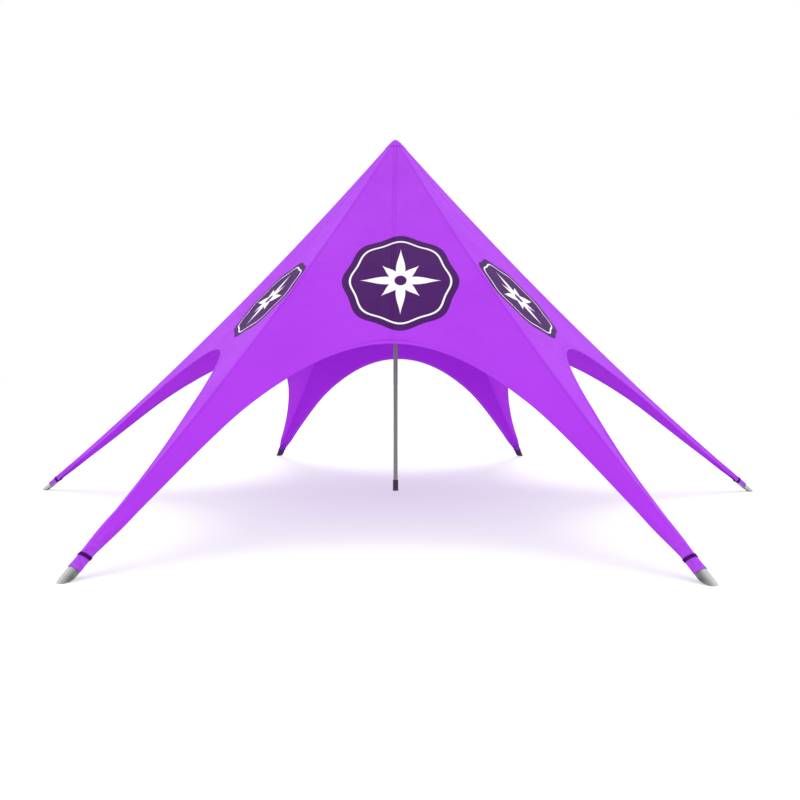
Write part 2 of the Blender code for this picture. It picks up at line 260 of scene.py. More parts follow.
@dataclass
class SkinForm:
    """The shape of the skin, with the sizes that the solids are built from.

    A ridge falls in a straight line over its last stretch and is lifted by a square law further in. Between
    ridges a bay curves one way only, so its height depends on the distance along its middle line alone. The
    arch edge is a parabola in plan. At an arm's end the section turns into a half round over the shoe.
    """

    arm_reach: float = 5.0
    tip_height: float = 0.014
    peak_height: float = 4.907
    end_slope: float = 0.86
    straight_from: float = 4.62
    arch_top: float = 2.49
    arch_spread: float = 3.156
    opening: float = 0.100
    skin_end: float = 0.143
    shoe_radius: float = 0.0615
    edge_angle: float = 88.0
    rounding_from: float = 4.30
    rounding_to: float = 4.72
    flare_from: float = 4.783
    flare: float = 0.22
    flare_drop: float = 0.07
    flare_ease: float = 0.03
    fold: float = 0.25
    fold_from: float = 3.30
    fold_to: float = 4.40
    gap: float = 0.0003
    row_crowding: float = 0.45
    fan: float = 2.5
    rows: int = 132
    columns: int = 46
    measured_at: int = 17
    cloth_lift: float = 0.0030
    cloth: float = 0.0016
    slack: Slack = Slack()

    @property
    def slope_angle(self) -> float:
        """The angle of the arm's straight end below level."""
        return math.atan(self.end_slope)

    @property
    def bend(self) -> float:
        """How strongly the square law lifts the ridge."""
        return (self.peak_height - self.tip_height - self.end_slope * self.arm_reach) / self.straight_from**2

    def ridge_height(self, radius: Array | float) -> Array:
        """Height of a ridge's underside at a distance from the pole's axis."""
        inside = np.maximum(self.straight_from - radius, 0.0)
        return self.tip_height + self.end_slope * (self.arm_reach - radius) + self.bend * inside**2

    def roof_height(self, along: Array | float) -> Array:
        """Height of a bay's underside at a distance along its middle line."""
        return self.ridge_height(along / COSINE)

    def section_size(self, radius: Array, rate: float) -> Array:
        """Half width or depth of the half round: the shoe's under the strap, and growing further in."""
        inside = np.maximum(self.flare_from - radius, 0.0)
        return self.shoe_radius + self.gap + rate * inside**2 / (inside + self.flare_ease)

    def slope_radius(self, distance: float) -> float:
        """Distance from the pole's axis of a point on the crown, from its distance up the slope."""
        return self.arm_reach - distance * math.cos(self.slope_angle)

    @cached_property
    def hem_end(self) -> float:
        """The y at which the arch edge is level with the skin's end, measured along the ridge.

        Returns:
            The y of the hem's end.
        """
        square = COSINE / self.arch_spread
        rest = self.arch_top * COSINE - self.slope_radius(self.skin_end)
        return (-SINE + math.sqrt(SINE**2 - 4 * square * rest)) / (2 * square)

    @cached_property
    def cut_table(self) -> Array:
        """Distance along a bay's middle line against length measured over the curved cloth."""
        along = np.linspace(0.0, self.arm_reach, FINE_STEPS)
        return np.stack([along, run_length(stacked(along, self.roof_height(along)))])

    def row_ends(self, along: Array) -> tuple[Array, Array]:
        """Both ends of each row of a half bay: on the arch edge, and on the ridge.

        The first row lies on the middle line. The others fan from the ridge to the arch edge, and turn
        square to the ridge towards the arm's end, as the power of (1 - along) dies away.

        Args:
            along: 0 on the bay's middle line, 1 at the arm's end.

        Returns:
            Plan points of the edge and of the ridge.
        """
        edge_y = self.hem_end * along * (1.0 + self.row_crowding * (1.0 - along))
        edge_x = self.arch_top + edge_y**2 / self.arch_spread
        square = edge_x * COSINE + edge_y * SINE
        first = 1.0 / self.rows
        later = np.clip((along - first) / (1.0 - first), 0.0, 1.0)
        radius = square - (self.arch_top * COSINE - self.opening) * (1.0 - later) ** self.fan
        aside = np.clip(along / first, 0.0, 1.0)
        return stacked(edge_x, edge_y), stacked(radius * COSINE, radius * SINE * aside)

    def half_bay(self, along: Array, share: Array) -> tuple[Array, Array]:
        """Underside of the half of a bay on the +y side, in the bay's own frame.

        A row is straight in plan and takes its height from the roof, less a fold that grows down the arm in
        proportion to the distance from the ridge. Past the rounding it is an arc over the shoe, square to
        the slope: across = half width times sin(angle), down = depth times (1 - cos(angle)).

        Args:
            along: Which row, 0 on the middle line to 1 at the arm's end, as a column.
            share: Place on the row, 0 on the arch edge to 1 on the ridge.

        Returns:
            Points in metres, and their flat places on the cut cloth: y, and length down the middle line.
        """
        edge, ridge = self.row_ends(along[:, 0])
        plan = edge[:, None] + share[..., None] * (ridge - edge)[:, None]
        x, y = plan[..., 0], plan[..., 1]
        radius = np.linalg.norm(ridge, axis=-1)[:, None]
        fold = self.fold * smooth_ramp(x * COSINE + y * SINE, self.fold_from, self.fold_to)
        roof = stacked(x, y, self.roof_height(x) - fold * (x * SINE - y * COSINE))

        angle = np.radians(self.edge_angle) * (1.0 - share)
        across = self.section_size(radius, self.flare) * np.sin(angle)
        depth = self.section_size(radius, self.flare_drop) * (1.0 - np.cos(angle))
        outward = radius - depth * math.sin(self.slope_angle)
        arc = stacked(
            outward * COSINE + across * SINE,
            outward * SINE - across * COSINE,
            self.ridge_height(radius) + self.gap - depth * math.cos(self.slope_angle),
        )
        rounded = smooth_ramp(radius, self.rounding_from, self.rounding_to)[..., None]
        return (1.0 - rounded) * roof + rounded * arc, stacked(y, np.interp(x, *self.cut_table))

    def lifted(self, grid: Array, lift: Array | float, to_ridge: bool = True) -> Array:
        """Move points off the skin's underside along their normals.

        On the ridge the move is mitred, so that the lifted halves of two bays still meet there: the normal
        loses its part across the ridge and grows until its fall square to the cloth is the same.

        Args:
            grid: Points in the bay's own frame.
            lift: Distance to move.
            to_ridge: The last column lies on the ridge.

        Returns:
            The moved points.
        """
        normals = upward_normals(grid)
        if to_ridge:
            aside = np.array([-SINE, COSINE, 0.0])
            edge = normals[:, -1]
            level = edge - (edge @ aside)[:, None] * aside
            normals[:, -1] = level / (level**2).sum(axis=-1, keepdims=True)
        return grid + normals * np.broadcast_to(lift, grid.shape[:2])[..., None]

    def placed(self, points: Array, bay: Bay, half: Half) -> Array:
        """Put points of a half bay in the row's frame, mirrored for the half before the middle line."""
        return turned(points * np.array([1.0, half.value, 1.0]), bay.value)

    def rows_between(self, near: float, far: float, count: int) -> Array:
        """Row numbers whose ridge points lie evenly between two distances from the pole's axis.

        Args:
            near: The nearer distance.
            far: The farther distance.
            count: How many rows.

        Returns:
            The row numbers, as a column.
        """
        fine = np.linspace(1.0 / self.rows, 1.0, FINE_STEPS)
        radius = np.linalg.norm(self.row_ends(fine)[1], axis=-1)
        return np.interp(np.linspace(near, far, count), radius, fine)[:, None]

    def beside(self, along: Array, distances: Array, line: Line) -> Array:
        """Shares of points at set distances from the ridge or from the arch edge, measured square to it.

        Args:
            along: Which rows, as a column.
            distances: Distances from the line, in metres.
            line: The line to measure from.

        Returns:
            Shares for each row and distance.
        """
        ends = self.half_bay(along, np.linspace(0.0, 1.0, self.measured_at)[None, :])[0]
        length = np.linalg.norm(np.diff(ends, axis=1), axis=-1).sum(axis=1)
        column, inner = line.value
        run = unit(np.gradient(ends[:, column], axis=0))
        inward = unit(ends[:, inner] - ends[:, column])
        across = np.linalg.norm(np.cross(run, inward), axis=-1)
        step = distances / (length * across)[:, None]
        return 1.0 - step if line is Line.RIDGE else step

    def arm_points(self, local: Array, distance: float, bearing: float) -> Array:
        """Carry points to an arm: x across it, y out from the shoe's axis, z down the slope.

        Args:
            local: Points in a section's frame.
            distance: Slope distance of the section from the tip.
            bearing: The arm's bearing in degrees.

        Returns:
            Points in the row's frame.
        """
        sine, cosine = math.sin(self.slope_angle), math.cos(self.slope_angle)
        out = local[..., 1] - self.shoe_radius
        down = local[..., 2] - distance
        x = self.arm_reach + out * sine + down * cosine
        z = self.tip_height + out * cosine - down * sine
        return turned(stacked(x, local[..., 0], z), bearing)


@contextmanager
def reworked(mesh: bpy.types.Mesh) -> Iterator[bmesh.types.BMesh]:
    """Open a mesh for editing, then turn its faces outwards and write it back.

    Args:
        mesh: The mesh.

    Yields:
        The mesh, open.
    """
    build = bmesh.new()
    build.from_mesh(mesh)
    yield build
    bmesh.ops.recalc_face_normals(build, faces=build.faces)
    build.to_mesh(mesh)
    build.free()


def make_mesh(
    name: str,
    points: Array,
    places: Array,
    surface: Surface = Surface.SHEET,
    flip: bool = False,
    sharp: float = 0.0,
    thickness: float = 0.0,
) -> Piece:
    """Make a mesh object from a grid of points.

    Args:
        name: The piece's name.
        points: Rows by columns by 3.
        places: The UV place of each point, in metres.
        surface: What the grid is made into.
        flip: Turn the faces of a sheet over.
        sharp: Edges that turn by more than these degrees stay sharp; 0 leaves all of them smooth.
        thickness: Thickness of an open surface, half of it on each side; 0 gives none.

    Returns:
        The new object, at the origin and linked to the scene.
    """
    rows, columns = points.shape[:2]
    index = np.arange(rows * columns).reshape(rows, columns)
    quads = stacked(index[:-1, :-1], index[1:, :-1], index[1:, 1:], index[:-1, 1:]).reshape(-1, 4)
    faces = (quads[:, ::-1] if flip else quads).tolist()
    if surface is Surface.CAPPED:
        faces += [index[0, :-1].tolist(), index[-1, :-1][::-1].tolist()]
    mesh = bpy.data.meshes.new(name)
    mesh.from_pydata(points.reshape(-1, 3).tolist(), [], faces)
    layer = mesh.uv_layers.new(name=UV_NAME)
    corner = np.zeros(len(mesh.loops), dtype=np.int32)
    mesh.loops.foreach_get("vertex_index", corner)
    layer.data.foreach_set("uv", places.reshape(-1, 2)[corner].astype(np.float32).ravel())
    if surface is not Surface.SHEET:
        with reworked(mesh) as build:
            bmesh.ops.remove_doubles(build, verts=build.verts, dist=WELD_DISTANCE)
    mesh.validate()
    mesh.shade_smooth()
    if sharp:
        mesh.set_sharp_from_angle(angle=math.radians(sharp))
    piece = bpy.data.objects.new(name, mesh)
    bpy.context.scene.collection.objects.link(piece)
    if thickness:
        solidify = piece.modifiers.new("thickness", "SOLIDIFY")
        solidify.thickness = thickness
        solidify.offset = 0.0
        solidify.use_rim = True
    return piece


def joined(name: str, pieces: list[Piece]) -> Piece:
    """Join several pieces into the first, under a new name.

    Args:
        name: The new name.
        pieces: The pieces.

    Returns:
        The joined piece.
    """
    first, rest = pieces[0], pieces[1:]
    build = bmesh.new()
    for piece in pieces:
        build.from_mesh(piece.data)
    build.to_mesh(first.data)
    build.free()
    for piece in rest:
        bpy.data.objects.remove(piece, do_unlink=True)
    first.name = name
    first.data.name = name
    first.data.shade_smooth()
    return first


def soften(piece: Piece, width: float) -> None:
    """Round a hard piece's edges with a narrow bevel.

    Args:
        piece: The piece.
        width: Width of the bevel.
    """
    bevel = piece.modifiers.new("worn edges", "BEVEL")
    bevel.width = width
    bevel.segments = 2
    bevel.limit_method = "ANGLE"
    bevel.angle_limit = math.radians(HARD_EDGE)
    bevel.harden_normals = True


def line_with(piece: Piece, finish: Material) -> None:
    """Give a thickened cloth another finish on its inner face and along its cut edge.

    Args:
        piece: The cloth.
        finish: Finish of its inner face.
    """
    piece.data.materials.append(finish)
    solidify = piece.modifiers["thickness"]
    solidify.material_offset = 1
    solidify.material_offset_rim = 1


def settle(piece: Piece, finish: Material, slot: Slot, *nodes: str) -> Piece:
    """Give a finished piece its material and body, and hide and log the nodes that it stands for.

    Args:
        piece: The piece.
        finish: Its material.
        slot: Not used.
        *nodes: The frame's nodes that the piece replaces.

    Returns:
        The piece.
    """
    piece.data.materials.clear()
    piece.data.materials.append(finish)
    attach(piece, BODY)
    if nodes:
        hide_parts(*nodes)
    LOG.info("%s: %d faces, stands for %s", piece.name, len(piece.data.polygons), nodes or "nothing")
    return piece


def cut_size(flat: Array) -> tuple[float, float, float]:
    """Width, length and area of a flat cut, measured in the narrowest box along its longest side.

    Args:
        flat: Flat places of a grid of points.

    Returns:
        Width, length and area, in metres and square metres.
    """
    first = flat[1:, :-1] - flat[:-1, 1:]
    second = flat[:-1, :-1] - flat[1:, 1:]
    doubled = first[..., 0] * second[..., 1] - first[..., 1] * second[..., 0]
    sizes = []
    for angle in np.radians(np.arange(0.0, FULL_TURN / 2, 0.5)):
        turn = np.array([[math.cos(angle), -math.sin(angle)], [math.sin(angle), math.cos(angle)]])
        extent = np.ptp(flat.reshape(-1, 2) @ turn, axis=0)
        sizes.append((float(extent.prod()), float(extent.min()), float(extent.max())))
    _, width, length = min(sizes)
    return width, length, float(np.abs(doubled).sum() / 2)


class Graph:
    """Adds and joins the nodes of one tree."""

    MIX_COLOURS = (6, 7)
    MIX_RESULT = 2

    def __init__(self, tree: bpy.types.NodeTree) -> None:
        """Work on a node tree."""
        self.tree = tree

    def feed(self, socket: Socket, value: object) -> None:
        """Join a socket to an output, or set its own value.

        Args:
            socket: The input.
            value: The output to join it to, or a plain value.
        """
        if isinstance(value, Socket):
            self.tree.links.new(value, socket)
        else:
            socket.default_value = value

    def add(self, kind: str, inputs: dict[object, object], **settings: object) -> bpy.types.Node:
        """Add a node, set its properties and feed its inputs.

        Args:
            kind: The node's type.
            inputs: What goes into each input, by the input's name or number.
            **settings: The node's properties.

        Returns:
            The node.
        """
        node = self.tree.nodes.new(kind)
        for name, value in settings.items():
            setattr(node, name, value)
        for name, value in inputs.items():
            self.feed(node.inputs[name], value)
        return node

    def math(self, operation: str, *values: object) -> Socket:
        """One Math node, for example math("ADD", a, 2.0)."""
        return self.add("ShaderNodeMath", dict(enumerate(values)), operation=operation).outputs[0]

    def times(self, first: object, second: object) -> Socket:
        """The product of two values."""
        return self.math("MULTIPLY", first, second)

    def less(self, first: object, second: object) -> Socket:
        """The first value less the second."""
        return self.math("SUBTRACT", first, second)

    def plus(self, value: object, factor: object, base: object) -> Socket:
        """A base with a value times a factor added to it."""
        return self.math("MULTIPLY_ADD", value, factor, base)

    def away(self, value: object, middle: object) -> Socket:
        """How far a value lies from a middle one."""
        return self.math("ABSOLUTE", self.less(value, middle))

    def ramp(self, value: Socket, start: object, end: object) -> Socket:
        """A smooth step from 0 at start to 1 at end."""
        given = {"Value": value, "From Min": start, "From Max": end}
        return self.add("ShaderNodeMapRange", given, interpolation_type="SMOOTHSTEP").outputs[0]

    def fade(self, value: Socket, start: object, end: object) -> Socket:
        """A smooth step from 1 at start to 0 at end."""
        return self.less(1.0, self.ramp(value, start, end))

    def blend(self, factor: object, first: object, second: object) -> Socket:
        """Mix two colours.

        Args:
            factor: The share of the second colour.
            first: A colour's output, or three numbers.
            second: The other colour, in the same way.

        Returns:
            The mixed colour.
        """
        colours = [colour if isinstance(colour, Socket) else (*colour, 1.0) for colour in (first, second)]
        given = {0: factor, **dict(zip(self.MIX_COLOURS, colours))}
        return self.add("ShaderNodeMix", given, data_type="RGBA").outputs[self.MIX_RESULT]

    def noise(self, vector: Socket, scale: object, detail: float = 2.0) -> Socket:
        """Soft noise between 0 and 1."""
        given = {"Vector": vector, "Scale": scale, "Detail": detail}
        return self.add("ShaderNodeTexNoise", given).outputs["Fac"]

    def streaks(self, vector: Socket, scale: Colour, detail: float = 2.0) -> Socket:
        """Noise whose coordinates are scaled by a different number on each axis."""
        drawn = self.add("ShaderNodeMapping", {"Vector": vector, "Scale": scale}).outputs[0]
        return self.noise(drawn, 1.0, detail)

    def split(self, vector: Socket) -> tuple[Socket, Socket, Socket]:
        """The three parts of a vector."""
        return tuple(self.add("ShaderNodeSeparateXYZ", {0: vector}).outputs)

    def object_place(self) -> Socket:
        """Object coordinates."""
        return self.add("ShaderNodeTexCoord", {}).outputs["Object"]

    def flat_place(self) -> Socket:
        """The piece's own UV map, in metres: x across and y along."""
        return self.add("ShaderNodeUVMap", {}, uv_map=UV_NAME).outputs[0]

    def effect(self, group: bpy.types.NodeTree, **values: object) -> bpy.types.bpy_prop_collection:
        """Place a shared effect, fed by its inputs' names in lower case, and give its outputs."""
        given = {name.replace("_", " ").title(): value for name, value in values.items()}
        return self.add("ShaderNodeGroup", given, node_tree=group).outputs


class Effects:
    """The effects that several finishes share, each built once as a node group."""

    def __init__(self) -> None:
        """Build every group."""
        self.weave = self.build_weave()
        self.mottle = self.build_mottle()
        self.dust = self.build_dust()
        self.stitch = self.build_stitch()
        self.crease = self.build_crease()
        self.badge = self.build_badge()

    @staticmethod
    def start(
        name: str, inputs: dict[str, float | None], outputs: list[str]
    ) -> tuple[Graph, dict[str, Socket]]:
        """Start a group.

        Args:
            name: The group's name.
            inputs: Each input and its default, where None makes a vector.
            outputs: The output values.

        Returns:
            The group's graph, and its inputs by name.
        """
        tree = bpy.data.node_groups.new(name, "ShaderNodeTree")
        for label, value in inputs.items():
            kind = "NodeSocketVector" if value is None else "NodeSocketFloat"
            socket = tree.interface.new_socket(name=label, in_out="INPUT", socket_type=kind)
            if value is not None:
                socket.default_value = value
        for label in outputs:
            tree.interface.new_socket(name=label, in_out="OUTPUT", socket_type="NodeSocketFloat")
        graph = Graph(tree)
        source = graph.add("NodeGroupInput", {})
        return graph, {label: source.outputs[label] for label in inputs}

    @staticmethod
    def end(graph: Graph, **results: Socket) -> bpy.types.NodeTree:
        """Join a group's results to its outputs."""
        graph.add("NodeGroupOutput", results)
        return graph.tree

    def build_weave(self) -> bpy.types.NodeTree:
        """Plain weave: the product of a wave across and a wave along.

        Returns:
            The group's tree.
        """
        graph, given = self.start("plain_weave", {"Across": 0.0, "Along": 0.0, "Pitch": 0.004}, ["Height"])
        waves = []
        for label in ("Across", "Along"):
            turns = graph.math("DIVIDE", given[label], given["Pitch"])
            waves.append(graph.math("SINE", graph.times(turns, 2.0 * math.pi)))
        return self.end(graph, Height=graph.times(*waves))

    def build_mottle(self) -> bpy.types.NodeTree:
        """Cloudy tone: two sizes of noise added together.

        Returns:
            The group's tree.
        """
        finer = 6.0
        fine_share = 0.3
        low, high = 0.32, 0.68
        graph, given = self.start("cloudy_tone", {"Place": None, "Size": 0.5}, ["Value"])
        scale = graph.math("DIVIDE", 1.0, given["Size"])
        broad = graph.noise(given["Place"], scale, 3.0)
        fine = graph.noise(given["Place"], graph.times(scale, finer))
        total = graph.plus(fine, fine_share, graph.times(broad, 1.0 - fine_share))
        return self.end(graph, Value=graph.ramp(total, low, high))

    def build_dust(self) -> bpy.types.NodeTree:
        """Dust near the ground: it fades with height and breaks up in patches.

        Returns:
            The group's tree.
        """
        patch_scale = 26.0
        bare, covered = 0.30, 0.75
        graph, given = self.start("ground_dust", {"Place": None, "Reach": 0.3}, ["Mask"])
        low = graph.fade(graph.split(given["Place"])[2], 0.0, given["Reach"])
        patches = graph.ramp(graph.noise(given["Place"], patch_scale, 4.0), bare, covered)
        return self.end(graph, Mask=graph.times(low, patches))

    def build_stitch(self) -> bpy.types.NodeTree:
        """A row of stitches: short threads in a line, with a gap after each.

        Returns:
            The group's tree.
        """
        thread_edge = 1.6
        pucker_reach = 4.0
        dash_share = 0.68
        inputs = {"Across": 0.0, "Along": 0.0, "Line": 0.01, "Thread": 0.0012, "Pitch": 0.009}
        graph, given = self.start("stitch_row", inputs, ["Mask", "Pucker"])
        off = graph.away(given["Across"], given["Line"])
        thread = graph.fade(off, given["Thread"], graph.times(given["Thread"], thread_edge))
        part = graph.math("FRACT", graph.math("DIVIDE", given["Along"], given["Pitch"]))
        dash = graph.math("LESS_THAN", part, dash_share)
        pucker = graph.ramp(off, 0.0, graph.times(given["Thread"], pucker_reach))
        return self.end(graph, Mask=graph.times(thread, dash), Pucker=pucker)

    def build_crease(self) -> bpy.types.NodeTree:
        """Faint creases where the tent was folded: ridges on a square lattice, uneven in strength.

        Returns:
            The group's tree.
        """
        shifts = {"Across": 0.5, "Along": 0.2}
        half_width = 0.035
        patch_scale = 1.3
        faint, full = 0.35, 0.7
        inputs = {"Across": 0.0, "Along": 0.0, "Place": None, "Spacing": 0.6}
        graph, given = self.start("packing_crease", inputs, ["Height"])
        lines = []
        for label, shift in shifts.items():
            turns = graph.math("ADD", graph.math("DIVIDE", given[label], given["Spacing"]), shift)
            lines.append(graph.fade(graph.away(graph.math("FRACT", turns), 0.5), 0.0, half_width))
        strength = graph.ramp(graph.noise(given["Place"], patch_scale), faint, full)
        return self.end(graph, Height=graph.times(graph.math("MAXIMUM", *lines), strength))

    def build_badge(self) -> bpy.types.NodeTree:
        """A plain ornament: a lobed field with a ring and an eight-rayed compass star, in polar coordinates.

        The field's edge swings by its lobes' depth with the cosine of eight times the angle. The star's
        edge runs from its points to its notches with a power of the distance in angle from the nearest
        ray, and every second ray is shorter.

        Returns:
            The group's tree.
        """
        rays, depth = 8.0, 0.03
        field_edge = 0.995
        ring_place, ring_half, ring_edge = 0.86, 0.014, 0.019
        long_ray, shortened, notch = 0.70, 0.24, 0.20
        slimness, star_edge = 0.55, 0.008
        hole, hole_edge = 0.100, 0.108
        middles = {"Middle Across": 0.0, "Middle Along": 3.0}
        sizes = {"Half Width": 0.66, "Half Height": 0.8}
        inputs = {"Across": 0.0, "Along": 0.0, **middles, **sizes}
        graph, given = self.start("compass_badge", inputs, ["Field", "Mark"])
        x, y = (
            graph.math("DIVIDE", graph.less(given[label], given[middle]), given[size])
            for label, middle, size in zip(("Across", "Along"), middles, sizes)
        )
        radius = graph.math("SQRT", graph.plus(x, x, graph.times(y, y)))
        angle = graph.math("ARCTAN2", y, x)
        lobes = graph.plus(graph.math("COSINE", graph.times(angle, rays)), depth, 1.0 - depth)
        share = graph.math("DIVIDE", radius, lobes)
        ring = graph.fade(graph.away(share, ring_place), ring_half, ring_edge)

        turns = graph.times(angle, rays / (2.0 * math.pi))
        nearest = graph.math("ROUND", turns)
        off_ray = graph.times(graph.away(turns, nearest), 2.0)
        odd = graph.math("ABSOLUTE", graph.math("MODULO", nearest, 2.0))
        point = graph.plus(odd, -shortened, long_ray)
        fallen = graph.times(graph.math("POWER", off_ray, slimness), graph.less(point, notch))
        star = graph.fade(graph.less(radius, graph.less(point, fallen)), 0.0, star_edge)
        star = graph.times(star, graph.ramp(radius, hole, hole_edge))
        mark = graph.math("MAXIMUM", ring, star)
        return self.end(graph, Field=graph.fade(share, field_edge, 1.0), Mark=mark)


@dataclass(frozen=True)
class Badge:
    """Where a bay's ornament lies on the cut cloth, and how large it is."""

    middle_across: float = 0.0
    middle_along: float = 3.00
    half_width: float = 0.66
    half_height: float = 0.74


@dataclass(frozen=True)
class Dust:
    """A finish's dust: how high it reaches, how much of the colour it takes, and its own colour."""

    reach: float
    strength: float
    colour: Colour


@dataclass(frozen=True)
class Finish:
    """A finish, which a kind of finish paints in its own way. Its shades are factors of its colour."""

    name: str
    colour: Colour = (0.5, 0.5, 0.5)
    roughness: float = 0.5
    dust: Dust | None = None

    def paint(self, graph: Graph, effects: Effects) -> dict[str, object]:
        """Work out the finish's look.

        Args:
            graph: The material's graph.
            effects: The shared node groups.

        Returns:
            The shader's inputs by name, and the height that its bump takes.
        """
        raise NotImplementedError

    def shade(self, factor: float) -> Colour:
        """The finish's colour times a factor."""
        return tuple(min(1.0, factor * part) for part in self.colour)

    def dusted(self, graph: Graph, effects: Effects, place: Socket, colour: Socket) -> tuple[Socket, Socket]:
        """Lay the finish's dust over a colour, and give the dust's mask too."""
        mask = graph.effect(effects.dust, place=place, reach=self.dust.reach)[0]
        return graph.blend(graph.times(mask, self.dust.strength), colour, self.dust.colour), mask

    def make(self, effects: Effects) -> Material:
        """Build the material.

        Args:
            effects: The shared node groups.

        Returns:
            The material.
        """
        material = bpy.data.materials.new(self.name)
        material.use_nodes = True
        graph = Graph(material.node_tree)
        shader = material.node_tree.nodes["Principled BSDF"]
        look = self.paint(graph, effects)
        bump = graph.add("ShaderNodeBump", {"Height": look.pop("Height"), "Distance": 1.0})
        for name, value in {**look, "Normal": bump.outputs[0]}.items():
            graph.feed(shader.inputs[name], value)
        return material


@dataclass(frozen=True)
class ClothFinish(Finish):
    """Coated polyester: its dyed colour, weave, stitch rows or packing creases, and at times an ornament."""

    colour: Colour = (0.383, 0.035, 0.742)
    roughness: float = 0.55
    dust: Dust = Dust(0.45, 0.22, (0.42, 0.30, 0.50))
    dark: Colour = (0.054, 0.001, 0.108)
    white: Colour = (0.86, 0.84, 0.88)
    specular: float = 0.08
    pitch: float = 0.004
    rows: tuple[float, ...] = ()
    badge: Badge | None = None
    cloud_size: float = 0.9
    cloud_shade: float = 0.955
    cloud_relief: float = 0.0016
    cloud_roughness: float = 0.10
    weave_relief: float = 0.00004
    thread_shade: float = 0.78
    pucker_relief: float = 0.00022
    crease_relief: float = 0.0007

    def paint(self, graph: Graph, effects: Effects) -> dict[str, object]:
        """Work out the cloth's look.

        Args:
            graph: The material's graph.
            effects: The shared node groups.

        Returns:
            The shader's inputs by name, and the height that its bump takes.
        """
        place = graph.object_place()
        across, along, _ = graph.split(graph.flat_place())
        flat = {"across": across, "along": along}
        tone = graph.effect(effects.mottle, place=place, size=self.cloud_size)[0]
        colour = graph.blend(tone, self.colour, self.shade(self.cloud_shade))
        if self.badge:
            area, mark = graph.effect(effects.badge, **flat, **asdict(self.badge))
            colour = graph.blend(mark, graph.blend(area, colour, self.dark), self.white)
        height = graph.times(tone, self.cloud_relief)
        weave = graph.effect(effects.weave, **flat, pitch=self.pitch)[0]
        height = graph.plus(weave, self.weave_relief, height)
        for line in self.rows:
            thread, pucker = graph.effect(effects.stitch, **flat, line=line)
            colour = graph.blend(thread, colour, self.shade(self.thread_shade))
            height = graph.plus(pucker, self.pucker_relief, height)
        if not self.rows:
            crease = graph.effect(effects.crease, **flat, place=place)[0]
            height = graph.plus(crease, self.crease_relief, height)
        return {
            "Base Color": self.dusted(graph, effects, place, colour)[0],
            "Roughness": graph.plus(tone, self.cloud_roughness, self.roughness),
            "Specular IOR Level": self.specular,
            "Height": height,
        }


@dataclass(frozen=True)
class MetalFinish(Finish):
    """Brushed metal: drawn lines along the piece, scratches, and painted shade that darkens the flanks away
    from the crown, which leaves the crown as a painted highlight.
    """

    colour: Colour = (0.480, 0.492, 0.480)
    roughness: float = 0.34
    dust: Dust = Dust(0.06, 0.35, (0.33, 0.30, 0.27))
    # Colour of the painted shade on the flanks, near black.
    tarnish: Colour = (0.030, 0.032, 0.033)
    crown_half: float = 0.006
    edge: float = 0.074
    brush: Colour = (900.0, 14.0, 1.0)
    brush_shade: float = 1.12
    brush_strength: float = 0.35
    brush_roughness: float = 0.16
    brush_relief: float = 0.00006
    cloud_size: float = 0.05
    cloud_strength: float = 0.25
    tarnish_roughness: float = 0.16
    dust_dulls: float = 0.5

    def paint(self, graph: Graph, effects: Effects) -> dict[str, object]:
        """Work out the metal's look.

        Args:
            graph: The material's graph.
            effects: The shared node groups.

        Returns:
            The shader's inputs by name, and the height that its bump takes.
        """
        place = graph.object_place()
        flat = graph.flat_place()
        lines = graph.streaks(flat, self.brush, 3.0)
        cloud = graph.effect(effects.mottle, place=place, size=self.cloud_size)[0]
        # Painted shade: the colour turns near black away from the crown line, so the crown reads lit and the
        # flanks shaded; roughness rises with it.
        away = graph.ramp(graph.math("ABSOLUTE", graph.split(flat)[0]), self.crown_half, self.edge)
        away = graph.times(away, graph.plus(cloud, self.cloud_strength, 1.0 - self.cloud_strength))
        colour = graph.blend(away, self.colour, self.tarnish)
        drawn = graph.times(lines, self.brush_strength)
        colour = graph.blend(drawn, colour, self.shade(self.brush_shade))
        colour, dust = self.dusted(graph, effects, place, colour)
        rough = graph.plus(lines, self.brush_roughness, self.roughness)
        return {
            "Base Color": colour,
            "Metallic": graph.less(1.0, graph.times(dust, self.dust_dulls)),
            "Roughness": graph.plus(away, self.tarnish_roughness, rough),
            "Height": graph.times(lines, self.brush_relief),
        }


@dataclass(frozen=True)
class PoleFinish(Finish):
    """Grey coating on a drawn tube: faint lines along it, and scuffs low down. Its colour carries a painted
    green tint that cancels the purple light the cloth throws on it.
    """

    # Grey with a painted green tint, set against the cloth's purple bounce light.
    colour: Colour = (0.250, 0.305, 0.205)
    roughness: float = 0.38
    dust: Dust = Dust(0.5, 0.25, (0.36, 0.34, 0.32))
    worn: Colour = (0.48, 0.48, 0.48)
    lines: Colour = (260.0, 260.0, 3.0)
    line_shade: float = 0.8
    line_strength: float = 0.4
    line_roughness: float = 0.15
    line_relief: float = 0.00004
    scratches: Colour = (60.0, 60.0, 420.0)
    scratch_edge: tuple[float, float] = (0.66, 0.72)
    scratched_to: tuple[float, float] = (0.15, 1.1)
    scuff_strength: float = 0.6
    coat: float = 0.2
    coat_roughness: float = 0.3

    def paint(self, graph: Graph, effects: Effects) -> dict[str, object]:
        """Work out the coating's look.

        Args:
            graph: The material's graph.
            effects: The shared node groups.

        Returns:
            The shader's inputs by name, and the height that its bump takes.
        """
        place = graph.object_place()
        lines = graph.streaks(place, self.lines)
        scratches = graph.ramp(graph.streaks(place, self.scratches), *self.scratch_edge)
        scuff = graph.times(scratches, graph.fade(graph.split(place)[2], *self.scratched_to))
        drawn = graph.times(lines, self.line_strength)
        colour = graph.blend(drawn, self.colour, self.shade(self.line_shade))
        colour = graph.blend(graph.times(scuff, self.scuff_strength), colour, self.worn)
        return {
            "Base Color": self.dusted(graph, effects, place, colour)[0],
            "Roughness": graph.plus(lines, self.line_roughness, self.roughness),
            "Coat Weight": self.coat,
            "Coat Roughness": self.coat_roughness,
            "Height": graph.times(lines, self.line_relief),
        }


